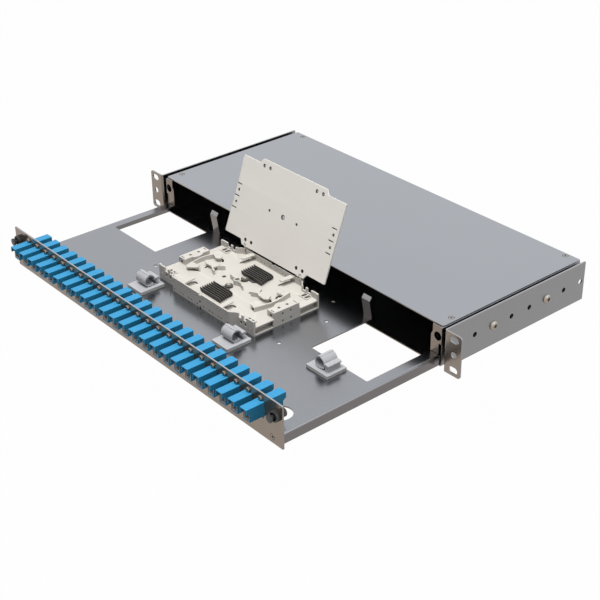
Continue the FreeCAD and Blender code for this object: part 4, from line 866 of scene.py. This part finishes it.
def through(points):
    """Smooth line through the points."""
    steps = 4
    line = []
    for i in range(len(points) - 1):
        a = Vector(points[max(i - 1, 0)])
        b = Vector(points[i])
        c = Vector(points[i + 1])
        d = Vector(points[min(i + 2, len(points) - 1)])
        for k in range(steps):
            t = k / steps
            line.append(b + (c - a) * (t / 2) + (a * 2 - b * 5 + c * 4 - d) * (t * t / 2)
                        + (b * 3 - a - c * 3 + d) * (t ** 3 / 2))
    return line + [Vector(points[-1])]


def strip(line, width):
    """Closed loop of a band along a line, round at both ends."""
    left, right = [], []
    for i, spot in enumerate(line):
        run = (Vector(line[min(i + 1, len(line) - 1)]) - Vector(line[max(i - 1, 0)])).normalized()
        across = Vector((-run.y, run.x)) * (width / 2)
        left.append(Vector(spot) + across)
        right.append(Vector(spot) - across)
    caps = []
    for tip, before, side in ((line[-1], line[-2], left[-1]), (line[0], line[1], right[0])):
        outward = (Vector(tip) - Vector(before)).normalized() * (width / 2)
        across = side - Vector(tip)
        caps.append([Vector(tip) + across * math.cos(a) + outward * math.sin(a)
                     for a in (math.pi / 4, math.pi / 2, 3 * math.pi / 4)])
    return left + caps[0] + list(reversed(right)) + caps[1]


def guide_wall(line, thick=1.6):
    return plate(strip(line, thick), [], FLOOR_TOP - 0.4, GUIDE_TOP, "z", 0.2)


def guide_tab(corners):
    """Rounded tab that keeps the fibre under it, level with the guide's top."""
    growth, thick = 1.14, 1.7
    mid_u = sum(c[0] for c in corners) / len(corners)
    mid_v = sum(c[1] for c in corners) / len(corners)
    grown = [(mid_u + (c[0] - mid_u) * growth, mid_v + (c[1] - mid_v) * growth, *c[2:]) for c in corners]
    return plate(outline(grown, 4), [], GUIDE_TOP - thick, GUIDE_TOP + HAIR, "z", 0.3)


def long_wall():
    """Front wall with its notches and rows of holes, bulging forward between the ends."""
    end = LONG - HAIR
    notches = ((-66.0, -61.0, 4.2), (-58.0, -53.5, 4.2), (-1.6, 1.6, 1.6), (53.5, 58.0, 4.2),
               (61.0, 66.0, 4.2))
    rim_line = [(-end, RIM)]
    for start, stop, drop in notches:
        rim_line += [(start, RIM, 0.3), (start, RIM - drop, 0.3), (stop, RIM - drop, 0.3), (stop, RIM, 0.3)]
    rim_line += [(end, RIM), (end, TRAY_TOP), (1.2, TRAY_TOP), (1.2, TRAY_TOP + 2.0), (-1.2, TRAY_TOP + 2.0),
                 (-1.2, TRAY_TOP), (-end, TRAY_TOP)]
    holes = [rectangle(-1.2, 1.2, -4.4, -1.4, 0.2)]
    for side in (-1, 1):
        for u in WALL_WINDOWS:
            holes.append(rectangle(side * u - 1.3, side * u + 1.3, -3.8, -0.5, 0.3))
        holes.append(circle(side * 71.4, -1.6, 0.9, 10))
        for u in WALL_BORES:
            holes.append(circle(side * u, -6.6, 1.1, 10))
            holes.append(circle(side * u - 1.2, 1.7, 0.8, 10))
    step_in, step_out = 44.6, 53.4

    def swell(spot):
        ease = min(max((abs(spot.x) - step_in) / (step_out - step_in), 0), 1)
        spot.y += -BULGE + ease * ease * (3 - 2 * ease) * (BULGE - DEEP)

    cuts = [side * u for u in (step_in, 45.6, 46.6, 47.6, 50.4, 51.4, 52.4, step_out) for side in (-1, 1)]
    return bent(plate(outline(rim_line, 2), holes, 0.0, WALL, "y", 0.15), cuts, swell)


def end_wall():
    """Right end as one plate: corner posts, two windows under the floor, and the block's face."""
    deep, post, grip, sill = DEEP - HAIR, 37.9, 15.7 - HAIR, FLOOR_TOP - HAIR
    half = [(deep, TRAY_TOP + HAIR), (deep, RIM - HAIR), (post, RIM - HAIR), (post, sill, 0.3),
            (grip, sill, 0.3), (grip, RIM - HAIR)]
    line = half + [(-a[0], *a[1:]) for a in reversed(half)]
    windows = [rectangle(side * 27.65 - 10.85, side * 27.65 + 10.85, -8.4, -1.8, 0.2) for side in (-1, 1)]
    bores = [circle(v, z, 1.2, 14) for v in TUBE_V for z in TUBE_Z]
    face = plate(outline(line, 2), windows + bores, LONG - WALL, LONG, "x", 0.12)
    window_spans = ((-39.5, -16.0), (16.0, 39.5))
    backs = [block(69.5, 70.8, a, b, TRAY_TOP, FLOOR_TOP - 0.9, 0.1) for a, b in window_spans]
    rungs = [block(70.0, 75.5, a, b, TRAY_TOP, TRAY_TOP + 0.9, 0.1) for a, b in window_spans]
    return joined([face] + backs + rungs)


def tube_block():
    """Block that grips the incoming tubes: bored top, closed cheeks, a round nose inside."""
    inner, half = 66.0, 15.7
    nose = [(inner, 7.4, 0.6), (64.4, 5.4, 2.0), (62.8, 0, 5.0), (64.4, -5.4, 2.0), (inner, -7.4, 0.6)]
    top_loop = outline([(inner, -half), (LONG - HAIR, -half), (LONG - HAIR, half), (inner, half)] + nose, 5)
    holes = [circle(70.9, v, 1.5, 18) for v in TUBE_V]
    holes += [slotted(72.1, v, 5.8, 0.9) for v in (-13.7, 13.7)]
    top = plate(top_loop, holes, RIM - 1.4, RIM, "z", 0.2)
    cheeks = [plate(rectangle(inner + 0.1, 76.0, TRAY_TOP, RIM - 0.4),
                    [rectangle(69.6, 73.8, 0.4, 3.6, 0.3), rectangle(72.0, 74.6, -7.6, -4.4, 0.3)],
                    v, v + WALL, "y", 0.2) for v in (-half + HAIR, half - WALL - HAIR)]
    inner_loop = outline([(inner + HAIR, -15.5), (inner + 1.4, -15.5), (inner + 1.4, 15.5),
                          (inner + HAIR, 15.5)] + [(a[0] + HAIR, *a[1:]) for a in nose], 5)
    shield = plate(inner_loop, [], FLOOR_TOP - 0.5, RIM - 0.3, "z", 0.15)
    core = block(67.6, 74.4, -12.0, 12.0, TRAY_TOP + 0.5, 3.4, 0.1)
    return joined([top, shield, core] + cheeks)


def rear_pad():
    """Low pad inside the rear wall, with two tie slots."""
    return plate(outline([(56.8, 30.4, 0.8), (70.0, 30.4, 0.8), (67.6, 38.9), (59.0, 38.9)]),
                 [rectangle(u - 1.7, u + 1.7, 31.6, 37.9, 0.5) for u in TIE_SLOTS],
                 FLOOR_TOP - 0.2, FLOOR_TOP + 1.0, "z", 0.2)


def wall_tab(u):
    """Flat finger over the floor, from the front wall's rim."""
    finger = outline([(u - 2.9, -45.2), (u + 3.3, -45.2), (u + 2.1, -29.8, 2.2), (u - 3.3, -28.4, 2.4)], 4)
    return plate(finger, [], RIM - 1.3, RIM - HAIR, "z", 0.25)


def mirrored(shape):
    """The shape with its front and rear changed over."""
    points, faces = shape
    return [Vector((p.x, -p.y, p.z)) for p in points], [tuple(reversed(f)) for f in faces]


def crescent(points):
    return strip(through(points), 2.0)


floor_slots = [
    crescent([(53.2, -19.6), (46.8, -17.8), (45.2, -14.0)]),
    crescent([(46.9, 11.0), (45.4, 14.6), (48.8, 18.2)]),
    crescent([(49.0, 0.6), (47.6, 3.8), (43.4, 3.9)]),
    crescent([(-48.7, -3.1), (-49.6, 0.5), (-47.0, 2.5)]),
    crescent([(-53.4, 20.2), (-49.6, 19.9), (-47.0, 17.6)]),
    crescent([(-46.8, -11.6), (-50.8, -13.6), (-55.6, -14.4)]),
]
for u in TAB_U:
    floor_slots.append(crescent([(u - 3.2, -38.4), (u - 3.3, -31.0), (u - 1.0, -28.6), (u + 2.2, -28.6)]))
    floor_slots.append(strip([Vector((u - 3.0, 29.4)), Vector((u - 2.6, 41.5))], 2.0))
floor_bores = [circle(RING_U, RING_V, 2.5, 20), circle(-21.6, 0.0, 2.2, 18), circle(21.8, -1.0, 1.6, 16)]
for side in (-1, 1):
    for u in TIE_SLOTS:
        floor_bores += [rectangle(side * u - 1.7, side * u + 1.7, v - 3.1, v + 3.1, 0.5)
                        for v in (-34.8, 34.8)]
raised_floor = plate(cassette_line(WALL / 2), floor_bores + floor_slots, FLOOR_TOP - 1.3, FLOOR_TOP, "z", 0.1)

right_arc = through([(53.0, -20.4), (55.7, -8.6), (56.5, -0.4), (56.2, 7.4), (54.5, 15.2), (53.2, 22.7)])
left_arc = through([(-57.3, -19.2), (-59.8, -11.2), (-61.3, -4.1), (-61.8, 0.9), (-61.6, 5.6), (-60.6, 10.5),
                    (-58.8, 15.8)])
guides = [
    guide_wall(right_arc),
    guide_tab([(45.3, -19.2, 1.6), (52.8, -20.6, 0.3), (55.0, -12.0, 0.3), (46.2, -9.2, 1.8),
               (44.4, -13.2, 1.0)]),
    guide_tab([(45.4, 13.4, 1.4), (54.4, 15.4, 0.3), (53.2, 22.4, 0.3), (46.6, 19.9, 1.6),
               (43.8, 16.2, 1.2)]),
    guide_wall(left_arc),
    guide_tab([(-57.8, -19.6, 0.3), (-54.3, -20.6, 1.0), (-47.8, -13.6, 1.6), (-50.1, -10.0, 1.4),
               (-60.2, -11.6, 0.3)]),
    guide_tab([(-59.2, 15.6, 0.3), (-54.8, 20.3, 1.2), (-49.9, 19.5, 1.4), (-47.2, 15.9, 1.4),
               (-50.4, 12.2, 1.2)]),
    # A fork has two short walls that meet under one rounded tab.
    guide_tab([(34.6, 3.6, 0.8), (37.0, -2.5, 0.8), (45.9, -3.3, 1.8), (48.8, -0.4, 1.4), (46.0, 4.8, 1.4),
               (38.0, 4.9, 1.4)]),
    guide_wall([(27.4, -4.0), (33.4, -0.6), (38.0, -1.8)]),
    guide_wall([(28.8, 7.2), (33.6, 0.2), (37.8, 3.6)]),
    guide_tab([(-52.6, 0.0, 1.0), (-47.3, -1.8, 1.4), (-41.2, -1.2, 1.0), (-36.9, -1.4, 0.6),
               (-38.0, 6.5, 0.8), (-44.2, 4.9, 1.2), (-49.7, 5.1, 1.4), (-52.9, 3.2, 1.2)]),
    guide_wall([(-40.4, -0.4), (-37.4, -2.6), (-31.0, -5.2)]),
    guide_wall([(-40.2, 4.6), (-36.4, 3.4), (-31.8, 8.4)]),
    # Two wings run out from the centre ring and turn along the combs.
    guide_wall([(-13.8, 2.4), (-7.6, 1.4), (-3.6, 2.0)], 1.1),
    guide_wall([(13.2, -3.4), (7.4, -1.0), (3.4, -0.8)], 1.1),
]
ring = turned_ring([(2.5, GUIDE_TOP + 0.3), (2.8, GUIDE_TOP + 0.6), (3.5, GUIDE_TOP + 0.6),
                    (3.8, GUIDE_TOP + 0.3), (3.8, -0.8), (2.5, -0.8)], (RING_U, RING_V, 0), "z", 28)
front_and_end = joined([long_wall(), end_wall(), tube_block()])
pads = [rear_pad(), mirrored(rear_pad())]
tabs = [wall_tab(u) for u in TAB_U]
screw_posts = [lathe([(1.5, TRAY_TOP), (3.2, TRAY_TOP), (3.2, -1.0), (1.5, -1.0)], (u, 0, 0), "z", 16)
               for u in POST_U]
# The ears stand on the rear wall and hold the lid's two pins.
LID_PIN_Y, LID_PIN_Z = -18.9, 9.15
hinge_ears = []
for a in (-45.0, 42.0):
    b = a + 3.0
    hinge_ears.append(lathe([(1.05, a), (2.1, a), (2.1, b), (1.05, b), (1.05, a)],
                            (0, LID_PIN_Y - CASSETTE_Y, LID_PIN_Z), "x", 20))
    hinge_ears.append(block(a + HAIR, b - HAIR, BULGE - 1.5, BULGE + 2.0, 2.2, 8.2, 0.15))
cassette_shape = joined(
    [raised_floor, ring, front_and_end, placed(front_and_end, degrees=180.0)]
    + guides + pads + [flipped(p) for p in pads] + tabs + [mirrored(t) for t in tabs]
    + screw_posts + hinge_ears)
piece("cassette_moulding", placed(cassette_shape, 0, CASSETTE_Y), cassette_beige, "tray",
      ["cassette"])


def shade(loop, low, high, axis="z"):
    """Thin dark plate set inside a bore or slot as painted shade, so that it reads as deep."""
    return plate(loop, [], low, high, axis, 0.02)


# Painted shade: dark plates inside the wall bores, tube bores, notch, windows and tie slots.
shades = [shade(circle(s * u - shift, z, radius, 12), -BULGE + 0.22, -BULGE + 1.25, "y")
          for s in (-1, 1) for u in WALL_BORES
          for shift, z, radius in ((0.0, -6.6, 1.08), (1.2, 1.7, 0.78))]
shades += [shade(circle(v, z, 1.16, 14), LONG - 1.1, LONG - 0.35, "x") for v in TUBE_V for z in TUBE_Z]
shades += [shade(circle(70.9, v, 1.48, 18), RIM - 1.2, RIM - 0.5) for v in TUBE_V]
shades.append(shade(rectangle(-1.18, 1.18, -4.38, -1.42), -BULGE + 0.35, -BULGE + 1.2, "y"))
for s in (-1, 1):
    shades += [shade(rectangle(s * u - 1.28, s * u + 1.28, -3.78, -0.52), -DEEP + 0.35, -DEEP + 1.2, "y")
               for u in WALL_WINDOWS]
    shades += [shade(rectangle(*window), s * 15.0 - 0.4, s * 15.0 + 0.4, "y")
               for window in ((69.62, 73.78, 0.42, 3.58), (72.02, 74.58, -7.58, -4.42))]
for u in TIE_SLOTS:
    shades += [shade(rectangle(s * u - 1.68, s * u + 1.68, 31.7, 37.8), FLOOR_TOP - 1.2, FLOOR_TOP - 0.3)
               for s in (-1, 1)]
front_shades = joined(shades)
all_shades = joined([front_shades, placed(front_shades, degrees=180.0)])
piece("cassette_bore_shades", placed(all_shades, 0, CASSETTE_Y), painted_bore_shade, "tray", [])
under_screws = joined([lathe([(0.001, -12.8), (2.5, -12.8), (2.8, -12.5), (2.8, -11.0), (1.5, -11.0),
                              (1.5, -3.5), (0.001, -3.5)], (u, CASSETTE_Y, 0), "z", 20) for u in POST_U])
piece("cassette_screw_pair", under_screws, zinc, "tray", ["cassette_screws"])


# Splice combs: dark soft mouldings whose thin fins hold the splice protectors, each
# screwed to the cassette floor through its own ear.

# Its facing tints paint deep shade on the fins' front faces and gaps, and lighter shade at the ends.
comb_dark = finish("comb_dark", (0.085, 0.079, 0.071), 0.58, drift=(60.0, 0.2), grain=(2200.0, 0.2),
                   rub=(0.3, (0.16, 0.15, 0.13)), facing=((0.75, 0.75, 0.75), (0.22, 0.22, 0.22)))
COMB_FINS, COMB_PITCH = 7, 2.82
COMB_EAR_U, COMB_EAR_TOP = -1.6, 1.9
COMB_PLACES = (("front", -35.8, -9.2), ("rear", 15.2, 10.6))


def comb(front, ear_v):
    """Fins on a thin base, the first at v = front, with a screw ear in towards the centre."""
    shapes = [block(-11.0, 15.5, front + 0.2, front + 18.0, FLOOR_TOP, FLOOR_TOP + 0.5, 0.1)]
    for k in range(COMB_FINS):
        v = front + COMB_PITCH * k
        start, stop = -13.2 - 0.2 * k, 20.2 - 0.68 * k
        line = outline([(start + 2.2, FLOOR_TOP + 0.4), (stop - 2.0, FLOOR_TOP + 0.4),
                        (stop, FLOOR_TOP + 1.8, 0.4), (stop, 3.4, 0.6), (stop - 3.0, 4.5, 0.6),
                        (start + 2.0, 4.2, 0.6), (start - 0.2, 4.6, 0.3), (start, 1.2, 0.6)], 3)
        shapes.append(plate(line, [], v, v + 0.95, "y", 0.2))
    ear = turned_ring([(1.25, FLOOR_TOP), (4.1, FLOOR_TOP), (4.1, 1.6), (3.7, COMB_EAR_TOP),
                       (1.25, COMB_EAR_TOP)], (COMB_EAR_U, ear_v, 0), "z", 24)
    side = -1 if ear_v < front else 1
    root = front if side < 0 else front + 17.9
    web = outline([(-9.0, root), (10.5, root), (8.0, root + side * 2.6, 1.0), (2.0, ear_v - side * 2.0, 1.0),
                   (-5.0, ear_v - side * 2.0, 1.0)], 3)
    shapes += [ear, plate(web, [], FLOOR_TOP + HAIR, FLOOR_TOP + 0.9, "z", 0.15)]
    return joined(shapes)


comb_pins = []
for name, front, ear_v in COMB_PLACES:
    piece("splice_comb_%s_fins" % name, placed(comb(front, ear_v), 0, CASSETTE_Y), comb_dark, "tray",
          ["splice_comb_" + name])
    comb_pins.append(lathe([(0.001, 3.2), (1.5, 3.2), (2.0, 2.9), (2.2, 2.4), (2.2, COMB_EAR_TOP),
                            (1.25, COMB_EAR_TOP), (1.25, -0.4), (0.001, -0.4)],
                           (COMB_EAR_U, ear_v + CASSETTE_Y, 0), "z", 24))
piece("comb_screw_pair", joined(comb_pins), zinc, "tray", ["comb_screws"])


# Cassette lid: a flat beige moulding with holes along its long sides and slots along its
# short ones, turning on two pins. It is drawn closed and swung to its stop, as shown.

# Its beige is lighter than the cassette's: painted light, for the light on the lid's tilted face.
lid_beige = finish("lid_beige", (0.75, 0.71, 0.655), 0.5, drift=(10.0, 0.05), grain=(2400.0, 0.05),
                   rub=(0.3, (0.88, 0.86, 0.81)))
LID_SHEET, LID_GAP = 1.8, 0.3
LID_OPEN = 110.5
LID_END_ROWS = ((-74.0, 1.4), (71.2, -1.4))
# Round holes as (u, v, radius, sides), slots as (u, v).
lid_bores = [(-0.6, 0, 2.6, 24), (-21.6, 0, 1.5, 14), (20.6, 0, 1.5, 14)]
lid_bores += [(u, v, 1.95, 16) for u in (-45.0, -35.6, 35.6, 45.0) for v in (-39.7, 39.7)]
lid_slots = []
lid_holes = [circle(*bore) for bore in lid_bores]
for u, lean in LID_END_ROWS:
    row_slots = [(u, v + lean) for v in (-12.6, 0.0, 12.6)]
    row_bores = [(u + 1.0, v + lean, 1.5, 14) for v in (-6.4, 6.4)]
    lid_holes += [slotted(*spot, 7.4, 1.3) for spot in row_slots] + [circle(*bore) for bore in row_bores]
    lid_slots += row_slots
    lid_bores += row_bores
lid_corners = [(-78.1, -41.0, 0.8), (-52.2, -41.0, 0.6), (-48.8, -BULGE, 1), (48.8, -BULGE, 1),
               (52.2, -41.0, 0.6), (78.1, -41.0, 0.8)]
lid_line = outline(lid_corners + [(-a[0], -a[1], *a[2:]) for a in lid_corners], 4)
ear_gaps = [block(s * 43.5 - 1.8, s * 43.5 + 1.8, 43.5, 47.0, -1.0, LID_SHEET + 1, 0.05) for s in (-1, 1)]
lid_sheet = carved(plate(lid_line, lid_holes, 0, LID_SHEET, "z", 0.3), ear_gaps)

# Painted shade: dark rings and plates, set a little inside the lid's bores and slots, where only shade falls.
shade_low, shade_high, shade_thick = 0.25, LID_SHEET - 0.25, 0.62
lid_painted_shades = []
for u, v, bore, _ in lid_bores:
    outer, inner = bore - 0.03, bore - 0.03 - shade_thick
    lid_painted_shades.append(turned_ring([(outer, shade_low), (outer, shade_high), (inner, shade_high),
                                (inner, shade_low)], (u, v, 0), "z", 16))
lid_painted_shades += [shade(slotted(u, v, 7.3, 1.2), 0.5, LID_SHEET - 0.35) for u, v in lid_slots]

KNUCKLE_Z = 2.65
knuckles = []
for side in (-1, 1):
    inner, outer = sorted((side * 36.2, side * 41.7))
    knuckles.append(lathe([(0.001, inner), (1.4, inner), (1.6, inner + 0.2), (1.6, outer - 0.2), (1.4, outer),
                           (0.001, outer)], (0, BULGE, KNUCKLE_Z), "x", 20))
    knuckles.append(block(inner, outer, 44.5, BULGE, 0.9, 2.6, 0.1))
    a, b = sorted((side * 40.7, side * 45.0))
    knuckles.append(lathe([(0.001, a), (1.0, a), (1.0, b), (0.001, b)], (0, BULGE, KNUCKLE_Z), "x", 16))


def opened(shape):
    """The shape, drawn on the closed lid, swung to the lid's stop."""
    swing = Matrix.Rotation(math.radians(-LID_OPEN), 3, "X")
    pin = Vector((0, LID_PIN_Y, LID_PIN_Z))
    seat = Vector((0, CASSETTE_Y, RIM + LID_GAP))
    return [swing @ (p + seat - pin) + pin for p in shape[0]], shape[1]


piece("lid_groove_shades", opened(joined(lid_painted_shades)), painted_bore_shade, "lid", [])
piece("lid_moulding", opened(joined([lid_sheet] + knuckles)), lid_beige, "lid", ["lid"])


# Cable clips: grey nylon, a square foot on a glued pad, a half-round saddle with a catch
# post, and a strap over it that hinges at its foot and snaps under the catch.

clip_grey = finish("clip_grey", (0.40, 0.40, 0.415), 0.40, drift=(40.0, 0.1), grain=(2200.0, 0.06),
                   rub=(0.35, (0.6, 0.6, 0.61)))
pad_foam = finish("pad_foam", (0.50, 0.48, 0.42), 0.8, drift=(60.0, 0.15), grain=(1500.0, 0.4))
CLIPS = ((-70.0, -126.5, 0.0), (70.0, -126.5, 0.0), (161.8, -90.0, -90.0))
PAD_THICK, FOOT_TOP = 0.8, 3.2
RING, RING_WALL, RING_HALF = 6.4, 1.4, 8.0
RING_Z = FOOT_TOP + 6.3


def along_clip(line, soft):
    """A (v, z) line drawn out over the clip's length."""
    return plate(line, [], -RING_HALF, RING_HALF, "x", soft)


def band(start, end):
    """Part of the clip's ring along X, between two angles from +Y towards +Z."""
    angles = [math.radians(start + (end - start) * k / 18) for k in range(19)]
    rim = [Vector((RING * math.cos(a), RING_Z + RING * math.sin(a))) for a in angles]
    bore = [Vector(((RING - RING_WALL) * math.cos(a), RING_Z + (RING - RING_WALL) * math.sin(a)))
            for a in reversed(angles)]
    return along_clip(rim + bore, 0.25)


def clip_foot():
    base = plate(rectangle(-12, 12, -14.5, 14.5, 1.0), [], PAD_THICK, FOOT_TOP, "z", 0.4)
    under = block(-RING_HALF, RING_HALF, -2.6, 2.6, 3.0, RING_Z - 5.4, 0.2)
    post = outline([(RING + 1.6, FOOT_TOP), (RING + 3.4, FOOT_TOP), (RING + 3.4, RING_Z - 2.2, 0.4),
                    (RING + 0.6, RING_Z - 2.2, 0.5), (RING + 0.6, RING_Z - 3.4), (RING + 1.6, RING_Z - 3.8)])
    return joined([base, band(168.0, 318.0), under, along_clip(post, 0.25)])


def clip_top():
    tongue = outline([(RING - 1.1, RING_Z - 1.2), (RING + 5.2, RING_Z - 1.2, 0.7),
                      (RING + 5.2, RING_Z + 1.4, 1.0), (RING - 0.6, RING_Z + 1.4)])
    crest = RING_Z + RING
    rib = outline([(-1.7, crest - 0.6), (1.3, crest - 0.6), (0.8, crest + 0.6), (-1.2, crest + 0.6)])
    return joined([band(-8.0, 164.6), along_clip(tongue, 0.25), along_clip(rib, 0.2)])


for number, (x, y, degrees) in enumerate(CLIPS, 1):
    piece("clip_foot_%d" % number, placed(clip_foot(), x, y, TRAY_TOP, degrees), clip_grey, "tray",
          ["clip_base_%d" % number])
    piece("clip_strap_%d_band" % number, placed(clip_top(), x, y, TRAY_TOP, degrees), clip_grey,
          "strap_%d" % number, ["clip_strap_%d" % number])
one_pad = plate(rectangle(-12, 12, -14.5, 14.5, 1.0), [], 0, PAD_THICK, "z", 0.1)
glue_pads = joined([placed(one_pad, x, y, TRAY_TOP, degrees) for x, y, degrees in CLIPS])
piece("clip_glue_pads", glue_pads, pad_foam, "tray", ["clip_pads"])
